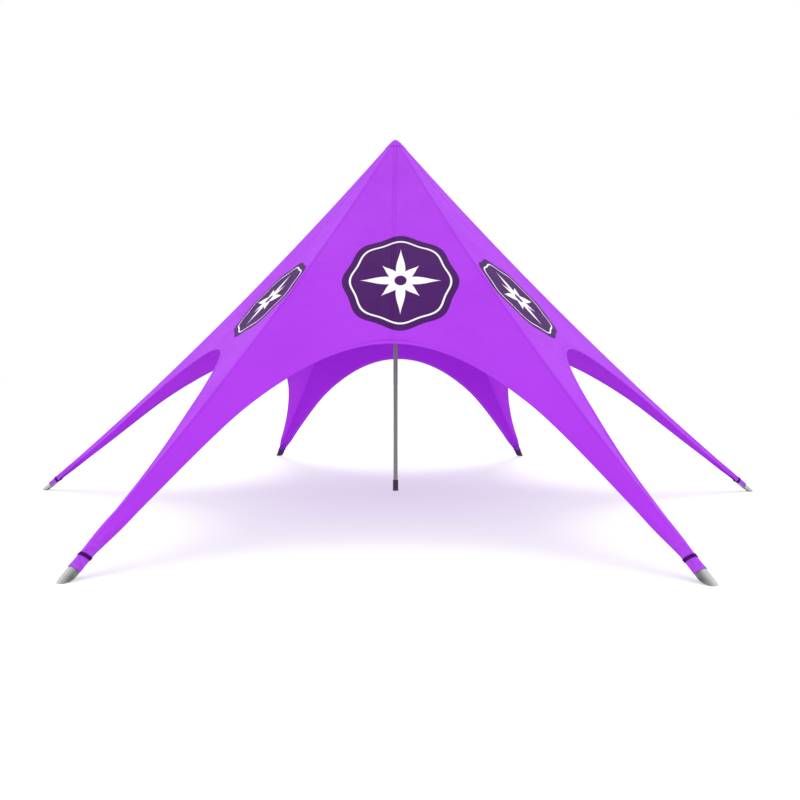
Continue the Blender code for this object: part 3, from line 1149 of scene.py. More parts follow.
@dataclass(frozen=True)
class RubberFinish(Finish):
    """Moulded black rubber: a fine grain, and pale dust low down."""

    colour: Colour = (0.030, 0.030, 0.031)
    roughness: float = 0.62
    dust: Dust = Dust(0.12, 0.22, (0.24, 0.22, 0.20))
    grain: float = 900.0
    grain_relief: float = 0.0002
    cloud_size: float = 0.04
    cloud_shade: float = 1.6
    cloud_roughness: float = 0.2

    def paint(self, graph: Graph, effects: Effects) -> dict[str, object]:
        """Work out the rubber's look.

        Args:
            graph: The material's graph.
            effects: The shared node groups.

        Returns:
            The shader's inputs by name, and the height that its bump takes.
        """
        place = graph.object_place()
        cloud = graph.effect(effects.mottle, place=place, size=self.cloud_size)[0]
        colour = graph.blend(cloud, self.colour, self.shade(self.cloud_shade))
        return {
            "Base Color": self.dusted(graph, effects, place, colour)[0],
            "Roughness": graph.plus(cloud, self.cloud_roughness, self.roughness),
            "Height": graph.times(graph.noise(place, self.grain), self.grain_relief),
        }


@dataclass(frozen=True)
class WebbingFinish(Finish):
    """Woven strap: fine ribs with painted shade in the grooves between them, and a row of stitches along both
    sides.
    """

    colour: Colour = (0.060, 0.004, 0.130)
    roughness: float = 0.72
    specular: float = 0.06
    pitch: float = 0.0035
    rib_edge: float = 0.6
    rib_shade: float = 0.6
    rib_roughness: float = 0.15
    rib_relief: float = 0.0003
    rows: tuple[float, ...] = (-0.011, 0.011)
    stitch_pitch: float = 0.006
    thread_shade: float = 2.4

    def paint(self, graph: Graph, effects: Effects) -> dict[str, object]:
        """Work out the webbing's look.

        Args:
            graph: The material's graph.
            effects: The shared node groups.

        Returns:
            The shader's inputs by name, and the height that its bump takes.
        """
        across, along, _ = graph.split(graph.flat_place())
        flat = {"across": across, "along": along}
        weave = graph.effect(effects.weave, **flat, pitch=self.pitch)[0]
        ribs = graph.ramp(weave, -self.rib_edge, self.rib_edge)
        # Painted shade: the weave's low places, where the bump sinks, are darkened.
        colour = graph.blend(ribs, self.shade(self.rib_shade), self.colour)
        for line in self.rows:
            thread = graph.effect(effects.stitch, **flat, line=line, pitch=self.stitch_pitch)[0]
            colour = graph.blend(thread, colour, self.shade(self.thread_shade))
        return {
            "Base Color": colour,
            "Roughness": graph.plus(ribs, self.rib_roughness, self.roughness),
            "Specular IOR Level": self.specular,
            "Height": graph.times(weave, self.rib_relief),
        }


@dataclass
class SkinBay:
    """One bay of the skin: two gores, the seam that joins them and the hem along the arch edge."""

    bay: Bay
    form: SkinForm
    phase: float
    seam_half: float = 0.012
    seam_rows: int = 90
    seam_columns: int = 7
    seam_stop: float = 0.6
    seam_lift: float = 0.0003
    seam_fall: float = 0.0005
    seam_fall_power: int = 6
    seam_thickness: float = 0.0008
    hem_width: float = 0.042
    hem_steps: tuple[float, ...] = (0.009, 0.018, 0.030)
    hem_rows: int = 150
    cover: float = 0.0010
    bead: float = 0.0055
    bead_end: float = 0.0024
    bead_slims: tuple[float, float] = (0.80, 0.97)
    bead_inset: float = 0.002
    bead_turn: tuple[float, float, int] = (55.0, 305.0, 15)
    bead_column: int = 8

    def gore(self, half: Half) -> tuple[Piece, Array]:
        """Build the cloth of one half, from the middle line to the ridge and down the arm.

        Args:
            half: Which half.

        Returns:
            The cloth, and the flat places of its points.
        """
        form = self.form
        along = np.linspace(0.0, 1.0, form.rows + 1)[:, None]
        share = np.linspace(0.0, 1.0, form.columns + 1)[None, :]
        taut, flat = form.half_bay(along, share)
        signed = flat * np.array([half.value, 1.0])
        slack = form.slack.distance(along, share, signed, self.phase)
        points = form.placed(form.lifted(taut, form.cloth_lift + slack), self.bay, half)
        name = f"gore_{self.bay.label}_at_{half.arm(self.bay).label}"
        return make_mesh(name, points, signed, flip=half is Half.BEFORE, thickness=form.cloth), flat

    def middle_seam(self) -> Piece:
        """Build the felled seam down the middle line: a flat band just above the cloth.

        Returns:
            The seam.
        """
        form = self.form
        end = form.arch_top - self.seam_stop * self.hem_width
        along = np.linspace(form.opening * COSINE, end, self.seam_rows)
        across = np.linspace(-self.seam_half, self.seam_half, self.seam_columns)
        x, y = np.meshgrid(along, across, indexing="ij")
        flat = stacked(y, np.interp(x, *form.cut_table))
        fall = self.seam_fall * (np.abs(y) / self.seam_half) ** self.seam_fall_power
        share = 1.0 - (x - along[0]) / (form.arch_top - along[0])
        slack = form.slack.distance(np.zeros_like(x), share, flat, self.phase)
        lift = form.cloth_lift + form.cloth / 2 + self.seam_lift - fall + slack
        grid = form.lifted(stacked(x, y, form.roof_height(x)), lift, to_ridge=False)
        points = turned(grid, self.bay.value)
        return make_mesh(f"seam_{self.bay.label}", points, flat, flip=True, thickness=self.seam_thickness)

    def hem(self) -> Piece:
        """Build the folded hem: a band above and below the cloth that rolls round a cord at the edge.

        Its section is a ring of points: out along the top, round a bead with half its turn outside the
        cloth's edge, and back underneath. The bead grows slimmer towards the arms' ends.

        Returns:
            The hem.
        """
        form = self.form
        along = np.linspace(0.0, 1.0, self.hem_rows)[:, None]
        distances = np.array([0.0, self.bead_inset, *self.hem_steps, self.hem_width])
        strip = form.half_bay(along, form.beside(along, distances, Line.HEM))[0]
        normals = upward_normals(strip)
        run = unit(np.gradient(strip[:, 0], axis=0))
        run[0] = (0.0, 1.0, 0.0)
        inward = np.cross(run, normals[:, 0])
        inward *= np.sign((inward * (strip[:, -1] - strip[:, 0])).sum(axis=-1, keepdims=True))
        inward = inward[:, None]
        bead = self.bead + (self.bead_end - self.bead) * smooth_ramp(along, *self.bead_slims)
        half_band = form.cloth / 2 + self.cover
        top = strip[:, :1:-1] + normals[:, :1:-1] * (form.cloth_lift + half_band)
        under = strip[:, 2:] + normals[:, 2:] * (form.cloth_lift - half_band)
        turn = angles(*self.bead_turn)[None, :, None]
        centre = strip[:, :1] + normals[:, :1] * form.cloth_lift + inward * self.bead_inset
        ring = centre + bead[..., None] * (np.cos(turn) * inward + np.sin(turn) * normals[:, :1])
        half = np.concatenate([top, ring, under, top[:, :1]], axis=1)
        mirrored = half[::-1] * np.array([1.0, -1.0, 1.0])
        path = np.concatenate([mirrored[:-1], half])
        around = np.mean([run_length(row) for row in path], axis=0)
        places = stacked(around[None, :], run_length(path[:, self.bead_column])[:, None])
        points = turned(path, self.bay.value)
        return make_mesh(f"hem_{self.bay.label}", points, places, Surface.CAPPED, sharp=CLOTH_EDGE)

    def build(self, cloth: Material, inside: Material, edging: Material) -> None:
        """Build and dress the whole bay, and log the size of its cut cloth.

        Args:
            cloth: Finish of the gores' outer face and of the seam between them.
            inside: Finish of the gores' inner face.
            edging: Finish of the hem.
        """
        node = f"panel_{self.bay.label}"
        seam = settle(self.middle_seam(), cloth, Slot.SKIN, node)
        hem = settle(self.hem(), edging, Slot.SKIN, node)
        for half in Half:
            piece, flat = self.gore(half)
            settle(piece, cloth, Slot.SKIN, node)
            line_with(piece, inside)
            width, length, area = cut_size(flat)
            held_by = ["pole_head", f"shoe_{half.arm(self.bay).label}"]
            LOG.info("%s is cut from %.3f x %.3f m, %.3f square metres", piece.name, width, length, area)


@dataclass
class ArmDress:
    """What lies along one arm: the ridge seam, the webbing under it, the end band and the strap."""

    arm: Arm
    form: SkinForm
    seam_half: float = 0.022
    seam_steps: tuple[float, ...] = (1.0, 0.96, 0.7, 0.4, 0.15, 0.0)
    seam_lifts: tuple[float, ...] = (0.0002, 0.0008, 0.0009, 0.0009, 0.0009, 0.0003)
    seam_from: float = 0.125
    seam_short: float = 0.0005
    seam_rows: int = 210
    seam_thickness: float = 0.0012
    webbing_half: float = 0.020
    webbing_steps: tuple[float, ...] = (1.0, 0.9, 0.5, 0.2, 0.0)
    webbing_span: tuple[float, float, int] = (0.14, 4.70, 160)
    webbing_drop: float = 0.0008
    webbing_thickness: float = 0.0014
    band_width: float = 0.032
    band_short: float = 0.0002
    band_rows: int = 12
    band_columns: int = 15
    band_lift: float = 0.0014
    band_rise: float = 0.0008
    band_shoulder: float = 0.7
    band_half_round: float = 0.09
    band_thickness: float = 0.0014
    strap_place: float = 0.265
    strap_width: float = 0.030
    strap_thickness: float = 0.003
    strap_inside: float = 0.06835
    strap_drop: float = 0.0690
    strap_corner: float = 0.030
    strap_chamfer: float = 0.0012
    strap_side: float = 0.3
    strap_over_steps: int = 41
    strap_corner_steps: int = 7

    def both_sides(self, strip: Array) -> Array:
        """Put a strip that ends on the ridge on one bay beside the arm, and join its mirror image to it.

        Args:
            strip: Points of the strip, in a bay's own frame.

        Returns:
            Points in the row's frame.
        """
        one = self.form.placed(strip, Half.AFTER.bay(self.arm), Half.AFTER)
        other = self.form.placed(strip[:, -2::-1], Half.BEFORE.bay(self.arm), Half.BEFORE)
        return np.concatenate([one, other], axis=1)

    def ridge_strip(
        self, name: str, rows: Array, distances: Array, lift: Array, thickness: float
    ) -> Piece:
        """Build a strip along the ridge, made of a strip on each bay beside it.

        Args:
            name: The piece's name, before the arm's.
            rows: Rows of the half bays.
            distances: Distances from the ridge, largest first and 0 last.
            lift: How far each of them stands off the skin's underside.
            thickness: The strip's own thickness.

        Returns:
            The strip.
        """
        form = self.form
        grid = form.half_bay(rows, form.beside(rows, distances, Line.RIDGE))[0]
        points = self.both_sides(form.lifted(grid, lift[None, :]))
        across = np.concatenate([-distances, distances[-2::-1]])
        places = stacked(across[None, :], run_length(grid[:, -1])[:, None])
        return make_mesh(f"{name}_{self.arm.label}", points, places, thickness=thickness)

    def ridge_seam(self) -> Piece:
        """Build the doubled seam over the ridge, from under the peak cap to the end band.

        Returns:
            The seam.
        """
        form = self.form
        end = form.slope_radius(form.skin_end) - self.seam_short
        rows = form.rows_between(self.seam_from, end, self.seam_rows)
        lift = form.cloth_lift + form.cloth / 2 + np.array(self.seam_lifts)
        distances = self.seam_half * np.array(self.seam_steps)
        return self.ridge_strip("ridge_seam", rows, distances, lift, self.seam_thickness)

    def under_webbing(self) -> Piece:
        """Build the webbing sewn under the ridge, which carries the arm's pull.

        Returns:
            The webbing.
        """
        form = self.form
        rows = form.rows_between(*self.webbing_span)
        distances = self.webbing_half * np.array(self.webbing_steps)
        lift = np.full(len(distances), form.cloth_lift - form.cloth / 2 - self.webbing_drop)
        return self.ridge_strip("ridge_webbing", rows, distances, lift, self.webbing_thickness)

    def end_band(self) -> Piece:
        """Build the doubled band that finishes the skin round the shoe.

        Returns:
            The band.
        """
        form = self.form
        end = form.slope_radius(form.skin_end)
        start = end - self.band_width * math.cos(form.slope_angle)
        rows = form.rows_between(start, end - self.band_short, self.band_rows)
        grid = form.half_bay(rows, np.linspace(0.0, 1.0, self.band_columns)[None, :])[0]
        rise = np.ones((self.band_rows, 1))
        rise[[1, -2]] = self.band_shoulder
        rise[[0, -1]] = 0.0
        points = self.both_sides(form.lifted(grid, form.cloth_lift + self.band_lift + self.band_rise * rise))
        down = np.linspace(0.0, self.band_width, self.band_rows)[:, None]
        round_it = np.linspace(-self.band_half_round, self.band_half_round, points.shape[1])
        places = stacked(down, round_it)
        return make_mesh(f"end_band_{self.arm.label}", points, places, thickness=self.band_thickness)

    def strap(self) -> Piece:
        """Build the webbing loop: an arc over the crown, straight sides and a flat run underneath.

        The loop is the outline of a box with a round top. Its corners underneath have a small radius.

        Returns:
            The loop.
        """
        form = self.form
        thick = self.strap_thickness
        corner = self.strap_corner
        over = angles(-90.0, 90.0, self.strap_over_steps)
        bend = angles(0.0, 90.0, self.strap_corner_steps)
        width = self.strap_inside + thick / 2
        low = -self.strap_drop - thick / 2 + form.shoe_radius
        right = stacked(width - corner + corner * np.cos(bend), low + corner - corner * np.sin(bend))
        arc = stacked(width * np.sin(over), width * np.cos(over))
        loop = np.concatenate([arc, right, right[::-1] * np.array([-1.0, 1.0]), arc[:1]])
        run = unit(np.gradient(loop, axis=0))
        run[0] = run[-1] = (0.0, 1.0)
        out = stacked(-run[:, 1], run[:, 0])
        half = self.strap_width / 2
        flat_half = half - self.strap_chamfer
        side = self.strap_side
        section = np.array([
            (-half, side), (-flat_half, 1.0), (flat_half, 1.0), (half, side),
            (half, -side), (flat_half, -1.0), (-flat_half, -1.0), (-half, -side), (-half, side),
        ])
        across, level = section[:, 0], section[:, 1:]
        outline = loop[:, None] + out[:, None] * (level * thick / 2)
        local = stacked(outline[..., 0], outline[..., 1], across)
        points = form.arm_points(local, self.strap_place, self.arm.value)
        places = stacked(across, run_length(loop)[:, None])
        return make_mesh(f"strap_loop_{self.arm.label}", points, places, Surface.WELDED, sharp=CLOTH_EDGE)

    def build(self, seam: Material, inside: Material, band: Material, webbing: Material) -> None:
        """Build and dress everything along the arm.

        Args:
            seam: Finish of the ridge seam.
            inside: Finish of the webbing under the ridge.
            band: Finish of the end band.
            webbing: Finish of the straps.
        """
        settle(self.ridge_seam(), seam, Slot.SKIN)
        settle(self.end_band(), band, Slot.SKIN)
        settle(self.under_webbing(), inside, Slot.SKIN)
        settle(self.strap(), webbing, Slot.WEBBING, f"strap_{self.arm.label}")


@dataclass
class ShoeShell:
    """The half-round metal shoe at an arm's end, with a sheet lining its hollow, inner sleeve, rivets and
    rubber foot. Where that sheet is dark rubber it is a painted shadow in the hollow.
    """

    arm: Arm
    form: SkinForm
    wall: float = 0.004
    worn_edge: float = 0.0011
    length: float = 0.32
    toe: float = 0.055
    ground_steps: int = 1601
    round_steps: int = 49
    slope_steps: int = 25
    slope_crowding: float = 1.3
    lining: float = 0.002
    lining_gap: float = 0.0001
    lining_start: float = 0.012
    lining_end: float = 0.165
    sleeve_end: float = 0.335
    corner: float = 0.045
    corner_from: float = math.radians(38.0)
    rivet: float = 0.006
    rivet_rise: float = 0.30
    rivet_sink: float = 0.0002
    rivet_rings: int = 7
    rivet_spokes: int = 17
    rivet_angles: tuple[float, ...] = (-52.0, 52.0)
    rivet_places: tuple[float, ...] = (0.075, 0.115)
    foot_gap: float = 0.0003
    foot_face: float = 0.075
    foot_recess: float = 0.003
    foot_slices: int = 97
    bore_steps: int = 13
    face_steps: int = 9
    rib: float = 0.0016
    rib_pitch: float = 0.012

    def toe_drop(self, distance: Array) -> Array:
        """How far the shell bows down to the ground at its toe: a square law over the toe's length."""
        return self.form.tip_height * (1.0 - np.clip(distance / self.toe, 0.0, 1.0)) ** 2

    def corner_lift(self, angle: Array) -> Array:
        """How far the shell's lower corners are cut back: a quarter ellipse over each flank."""
        share = np.clip((np.abs(angle) - self.corner_from) / (math.pi / 2.0 - self.corner_from), 0.0, 1.0)
        return self.corner * (1.0 - np.sqrt(1.0 - share**2))

    def ground_start(self, radius: float, angle: Array) -> Array:
        """Slope distance at which each line along the shell meets the ground.

        Args:
            radius: Radius of the lines.
            angle: Their angles from the crown, as a column.

        Returns:
            The slope distances, as a column.
        """
        form = self.form
        fine = np.linspace(0.0, self.length, self.ground_steps)[None, :]
        depth = form.shoe_radius - radius * np.cos(angle)
        rise = form.tip_height + fine * math.sin(form.slope_angle) - self.toe_drop(fine)
        height = rise - depth * math.cos(form.slope_angle)
        return np.array([[np.interp(0.0, line, fine[0])] for line in height])

    def shell(self, name: str, outer: float, inner: float, start: float, end: float) -> Piece:
        """Build a half-round shell, cut level at the ground.

        Each line along the shell is a ring: down the outside, round the edge at the toe and back inside.
        The rings are carried round the half circle.

        Args:
            name: The piece's name, before the arm's.
            outer: Outside radius.
            inner: Inside radius.
            start: Least slope distance of its lower end.
            end: Slope distance of its upper end.

        Returns:
            The shell.
        """
        angle = angles(-90.0, 90.0, self.round_steps)[:, None]
        share = np.linspace(1.0, 0.0, self.slope_steps)[None, :] ** self.slope_crowding
        sides = []
        for radius, run in ((outer, share), (inner, share[:, ::-1])):
            low = np.maximum(self.ground_start(radius, angle), start) + self.corner_lift(angle)
            sides.append(stacked(radius * np.sin(angle), radius * np.cos(angle), -low - run * (end - low)))
        local = np.concatenate([*sides, sides[0][:, :1]], axis=1)
        distance = -local[..., 2]
        points = self.form.arm_points(local, 0.0, self.arm.value)
        points[..., 2] -= self.toe_drop(distance)
        places = stacked(angle * outer, distance)
        return make_mesh(f"{name}_{self.arm.label}", points, places, Surface.CAPPED)

    @property
    def foot_radius(self) -> float:
        """Radius of the rubber foot, just clear of the lining."""
        return self.form.shoe_radius - self.wall - self.lining - self.foot_gap

    def foot_lines(self, angle: Array) -> tuple[Array, Array]:
        """Find where each upright slice of the rubber foot starts and ends along the bore.

        The slice starts a little way up from the shell's lower edge, and ends at the ribbed upright face:
        slope distance = (face's distance from the tip + rise out of the axis times sine) / cosine.

        Args:
            angle: Angles from the crown, as a column.

        Returns:
            The slope distances of the start and of the end, as columns.
        """
        form = self.form
        radius = self.foot_radius
        rib = self.rib * (0.5 + 0.5 * np.cos(2.0 * math.pi * radius * np.sin(angle) / self.rib_pitch))
        start = self.ground_start(radius, angle) + self.corner_lift(angle) + self.foot_recess
        out = radius * np.cos(angle) - form.shoe_radius
        end = (self.foot_face + rib + out * math.sin(form.slope_angle)) / math.cos(form.slope_angle)
        return start, end

    def rubber_foot(self) -> Piece:
        """Build the moulded rubber foot that fills the toe of the shoe.

        Each upright slice is a triangle: up the bore from the shell's lower edge to the face, down the
        face, and level back to the edge. The slices stand side by side round the bore and thin out to
        nothing at both ends.

        Returns:
            The foot.
        """
        form = self.form
        sine, cosine = math.sin(form.slope_angle), math.cos(form.slope_angle)
        fine = angles(0.0, 90.0, FULL_TURN + 1)[:, None]
        start, end = self.foot_lines(fine)
        widest = float(fine[start < end].max())
        angle = np.linspace(-widest, widest, self.foot_slices)[:, None]
        start, end = self.foot_lines(angle)
        end = np.maximum(start, end)
        radius = self.foot_radius
        out = radius * np.cos(angle) - form.shoe_radius
        along = start + np.linspace(0.0, 1.0, self.bore_steps)[None, :] * (end - start)
        x = form.arm_reach + out * sine - along * cosine
        z = form.tip_height + out * cosine + along * sine - self.toe_drop(along)
        sole = np.maximum(z[:, :1] - self.foot_recess * sine, 0.0)
        down = np.linspace(1.0, 0.0, self.face_steps)[None, 1:]
        x = np.concatenate([x, x[:, -1:] + 0.0 * down, x[:, :1], x[:, :1]], axis=1)
        z = np.concatenate([z, sole + down * (z[:, -1:] - sole), sole, z[:, :1]], axis=1)
        across = radius * np.sin(angle)
        points = turned(stacked(x, across, z), self.arm.value)
        places = stacked(across, x + z)
        return make_mesh(f"rubber_foot_{self.arm.label}", points, places, Surface.WELDED, sharp=HARD_EDGE)

    def rivets(self) -> Piece:
        """Build four domed rivet heads on the shell, two on each flank: height = rise times cos(angle).

        Returns:
            The rivets, as one piece.
        """
        form = self.form
        rise = angles(0.0, 90.0, self.rivet_rings)[:, None]
        spin = angles(0.0, FULL_TURN, self.rivet_spokes)[None, :]
        east = self.rivet * np.sin(rise) * np.cos(spin)
        north = self.rivet * np.sin(rise) * np.sin(spin)
        radius = form.shoe_radius + self.rivet * self.rivet_rise * np.cos(rise) - self.rivet_sink
        pieces = []
        for turn in np.radians(self.rivet_angles):
            across = radius * math.sin(turn) + east * math.cos(turn)
            out = radius * math.cos(turn) - east * math.sin(turn)
            for distance in self.rivet_places:
                points = form.arm_points(stacked(across, out, north - distance), 0.0, self.arm.value)
                pieces.append(make_mesh("rivet", points, stacked(east, north), Surface.WELDED))
        return joined(f"rivets_{self.arm.label}", pieces)

    def build(
        self, metal: Material, fixing: Material, hollow_finish: Material, rubber: Material, cloth: Material
    ) -> None:
        """Build and dress the shoe with all that is in it.

        Args:
            metal: Finish of the shell.
            fixing: Finish of the rivets.
            hollow_finish: Finish of the sheet in the shell's hollow: the shell's own, or dark rubber as a
                painted shadow.
            rubber: Finish of the foot.
            cloth: Finish of the sleeve sewn inside the skin's end.
        """
        label = self.arm.label
        radius = self.form.shoe_radius
        inner = radius - self.wall
        shell = self.shell("shoe_shell", radius, inner, 0.0, self.length)
        soften(shell, self.worn_edge)
        settle(shell, metal, Slot.METAL, f"shoe_{label}")
        # The sheet in the shell's hollow; in dark rubber it is a painted shadow that makes the hollow read
        # black.
        layer = (inner - self.lining_gap, inner - self.lining)
        lining = self.shell("shoe_lining", *layer, self.lining_start, self.lining_end)
        settle(lining, hollow_finish, Slot.METAL if hollow_finish == metal else Slot.RUBBER)
        sleeve = self.shell("inner_sleeve", *layer, self.lining_end, self.sleeve_end)
        settle(sleeve, cloth, Slot.SKIN)
        settle(self.rivets(), fixing, Slot.METAL)
        settle(self.rubber_foot(), rubber, Slot.RUBBER, f"pad_{label}")


def revolved(name: str, profile: list[tuple[float, float]], easing: float = 0.0, steps: int = 72) -> Piece:
    """Turn a profile of (radius, height) pairs about the pole's axis into a closed piece.

    Args:
        name: The piece's name.
        profile: Points down the piece's outer side.
        easing: How far each corner is cut back, or 0 to leave them.
        steps: How many flats go round.

    Returns:
        The piece.
    """
    outline = eased(np.array(profile), easing) if easing else np.array(profile)
    spin = angles(0.0, FULL_TURN, steps + 1)[None, :]
    radius, height = outline[:, :1], outline[:, 1:]
    points = stacked(radius * np.cos(spin), radius * np.sin(spin), height)
    places = stacked(spin * radius.max(), run_length(outline)[:, None])
    return make_mesh(name, points, places, Surface.WELDED, sharp=TURNED_EDGE)


def eased(corners: Array, size: float) -> Array:
    """Cut a profile's corners: each inner point gives way to two, a little along the lines that meet there.

    Args:
        corners: The profile's corners.
        size: How far from each corner the new points lie, at most a third of a line.

    Returns:
        The new profile.
    """
    out = [corners[0]]
    for before, here, after in zip(corners[:-2], corners[1:-1], corners[2:]):
        for run in (before - here, after - here):
            length = float(np.linalg.norm(run))
            out.append(here + run / max(length, TINY) * min(size, length / 3.0))
    out.append(corners[-1])
    return np.array(out)


@dataclass
class CentrePole:
    """The pole with its collar, its ribbed rubber foot and the metal head that carries the peak.

    A list of steps holds pairs: how far a point lies inside the piece's outer radius, and its height. The
    heights are from the middle of a groove or rib, from the ground, or from the lower end of the part.
    """

    form: SkinForm
    radius: float = 0.030
    tube_chamfer: float = 0.001
    tube_inset: float = 0.002
    tube_rings: int = 24
    collar_height: float = 2.62
    collar_radius: float = 0.0335
    collar_length: float = 0.060
    collar_gap: float = 0.0002
    collar_easing: float = 0.0006
    groove_shares: tuple[float, ...] = (0.3, 0.5, 0.7)
    groove_steps: Steps = (
        (0.0, -0.003), (0.0012, -0.002), (0.0012, 0.002), (0.0, 0.003),
    )
    foot_radius: float = 0.039
    foot_height: float = 0.150
    foot_floor: float = 0.020
    foot_gap: float = 0.0003
    foot_lip: float = 0.0035
    foot_ribs: tuple[float, float, int] = (0.136, 0.045, 6)
    rib_steps: Steps = (
        (0.0025, 0.006), (0.0008, 0.003), (0.0008, -0.003), (0.0025, -0.006),
    )
    base_steps: Steps = ((0.001, 0.024), (0.0, 0.016), (0.0, 0.0))
    sleeve_radius: float = 0.039
    sleeve_length: float = 0.100
    head_radius: float = 0.130
    head_rim: float = 0.025
    head_top: float = 0.060
    rim_steps: Steps = ((0.0, 0.0), (0.012, 0.0), (0.020, 0.010))
    neck_steps: Steps = ((-0.014, 0.010), (0.0, -0.006))
    ring_steps: Steps = (
        (0.0, 0.022), (-0.0015, 0.018), (-0.0015, 0.004), (0.001, 0.0),
    )
    socket: float = 0.120
    moulded_easing: float = 0.0012
    head_flats: int = 96

    def tube(self) -> Piece:
        """Build the pole's tube between its foot and its head.

        Returns:
            The tube.
        """
        low, high = (corner.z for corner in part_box("pole"))
        end = self.radius - self.tube_chamfer
        rings = np.linspace(high - self.tube_inset, low + self.tube_inset, self.tube_rings)
        side = [(self.radius, z) for z in rings]
        return revolved("pole_tube", [(0.0, high), (end, high), *side, (end, low), (0.0, low)])

    def collar(self) -> Piece:
        """Build the moulded collar where the pole's two lengths join: a sleeve with three grooves.

        Returns:
            The collar.
        """
        outer, bore = self.collar_radius, self.radius + self.collar_gap
        low, high = self.collar_height, self.collar_height + self.collar_length
        profile = [(bore, low), (outer, low)]
        for share in self.groove_shares:
            middle = low + share * self.collar_length
            profile += [(outer - depth, middle + rise) for depth, rise in self.groove_steps]
        profile += [(outer, high), (bore, high), (bore, low)]
        return revolved("pole_collar", profile, self.collar_easing)

    def foot(self) -> Piece:
        """Build the rubber cup under the pole, with ribs round it and a spread base.

        Returns:
            The foot.
        """
        outer, bore = self.foot_radius, self.radius + self.foot_gap
        profile = [(0.0, self.foot_floor), (bore, self.foot_floor), (bore, self.foot_height)]
        profile += [(outer - self.foot_lip, self.foot_height)]
        for middle in np.linspace(*self.foot_ribs):
            profile += [(outer - depth, middle + rise) for depth, rise in self.rib_steps]
        profile += [(outer - depth, z) for depth, z in self.base_steps]
        profile += [(0.0, 0.0)]
        return revolved("pole_foot_cup", profile, self.moulded_easing)

    def head(self) -> Piece:
        """Build the cone with its rim and sleeve; the cone seats the skin along the bays' middle lines.

        Returns:
            The head.
        """
        form = self.form
        top, foot = (
            float(form.roof_height(radius)) - 2 * form.gap for radius in (self.head_top, self.head_radius)
        )
        rim = foot - self.head_rim
        sleeve = rim - self.sleeve_length
        bore = self.radius + form.gap
        profile = [(0.0, top), (self.head_top, top), (self.head_radius, foot)]
        profile += [(self.head_radius - depth, rim + rise) for depth, rise in self.rim_steps]
        profile += [(self.sleeve_radius - depth, rim + rise) for depth, rise in self.neck_steps]
        profile += [(self.sleeve_radius - depth, sleeve + rise) for depth, rise in self.ring_steps]
        profile += [(bore, sleeve), (bore, sleeve + self.socket), (0.0, sleeve + self.socket)]
        return revolved("pole_head_cone", profile, self.moulded_easing, self.head_flats)

    def build(self, coating: Material, metal: Material, rubber: Material) -> None:
        """Build and dress the pole.

        Args:
            coating: Finish of the tube.
            metal: Finish of the head.
            rubber: Finish of the collar and foot.
        """
        settle(self.tube(), coating, Slot.POLE, "pole")
        settle(self.collar(), rubber, Slot.RUBBER)
        settle(self.foot(), rubber, Slot.RUBBER, "pole_foot")
        settle(self.head(), metal, Slot.METAL, "pole_head")


@dataclass
class PeakCap:
    """The cloth cap over the opening at the peak."""

    form: SkinForm
    radius: float = 0.148
    first_ring: float = 0.002
    rings: int = 34
    spokes: int = 120
    lift: float = 0.0068
    thickness: float = 0.0018
    corner_from: float = 0.93
    corner_rounding: float = 0.25
    crown_radius: float = 0.03
    dome_power: float = 1.55
    hem_from: float = 0.016
    hem_to: float = 0.012
    hem_rise: float = 0.0010
    edge_width: float = 0.003
    edge_fall: float = 0.0020
    cut_width: float = 1.74
    cut_length: float = 2.0

    def cloth(self, upright: float, slope: float) -> Piece:
        """Build the cap: a six-sided dome.

        In plan its edge is a hexagon whose corners are drawn in. Outside the opening it lies on the roof,
        and over the opening its height falls with a power of the distance.

        Args:
            upright: Length over the slope at the opening for each metre in plan.
            slope: Fall of the ridge at the opening for each metre in plan.

        Returns:
            The cap, with its thickness.
        """
        form = self.form
        opening = form.opening
        spin = angles(0.0, FULL_TURN, self.spokes + 1)[None, :]
        size = np.linspace(self.first_ring, self.radius, self.rings)[:, None]
        hexagon = COSINE / np.cos(np.mod(spin, 2 * HALF_BAY) - HALF_BAY)
        radius = size * (hexagon - self.corner_rounding * np.maximum(hexagon - self.corner_from, 0.0))
        ring = radius / hexagon
        top = float(form.ridge_height(opening)) + slope / self.dome_power * opening
        dome_ring = ring + (radius - ring) * (1.0 - smooth_ramp(ring, self.crown_radius, opening))
        dome = top - slope / self.dome_power * opening * (dome_ring / opening) ** self.dome_power
        height = np.where(ring < opening, dome, form.ridge_height(ring)) + self.lift * upright
        height += self.hem_rise * smooth_ramp(size, self.radius - self.hem_from, self.radius - self.hem_to)
        height -= self.edge_fall * smooth_ramp(size, self.radius - self.edge_width, self.radius)
        points = stacked(radius * np.cos(spin), radius * np.sin(spin), height)
        places = stacked((size - self.radius) * upright, spin * self.radius)
        piece = make_mesh("cap_cloth", points, places, Surface.WELDED, thickness=self.thickness)
        with reworked(piece.data) as build:
            rims = [edge for edge in build.edges if edge.is_boundary]
            middle = [edge for edge in rims if edge.verts[0].co.xy.length < self.crown_radius]
            bmesh.ops.contextual_create(build, geom=middle)
        piece.data.shade_smooth()
        return piece

    def build(self, finish: Material) -> None:
        """Args:
            finish: The cap's finish.
        """
        form = self.form
        slope = form.end_slope + 2 * form.bend * (form.straight_from - form.opening)
        upright = math.hypot(1.0, slope / COSINE)
        piece = settle(self.cloth(upright, slope), finish, Slot.SKIN, "peak_cap")


@dataclass(frozen=True)
class Lamp:
    """A broad distant lamp: its strength, and its tilt from overhead and its bearing in degrees."""

    name: str
    strength: float
    tilt: float
    bearing: float


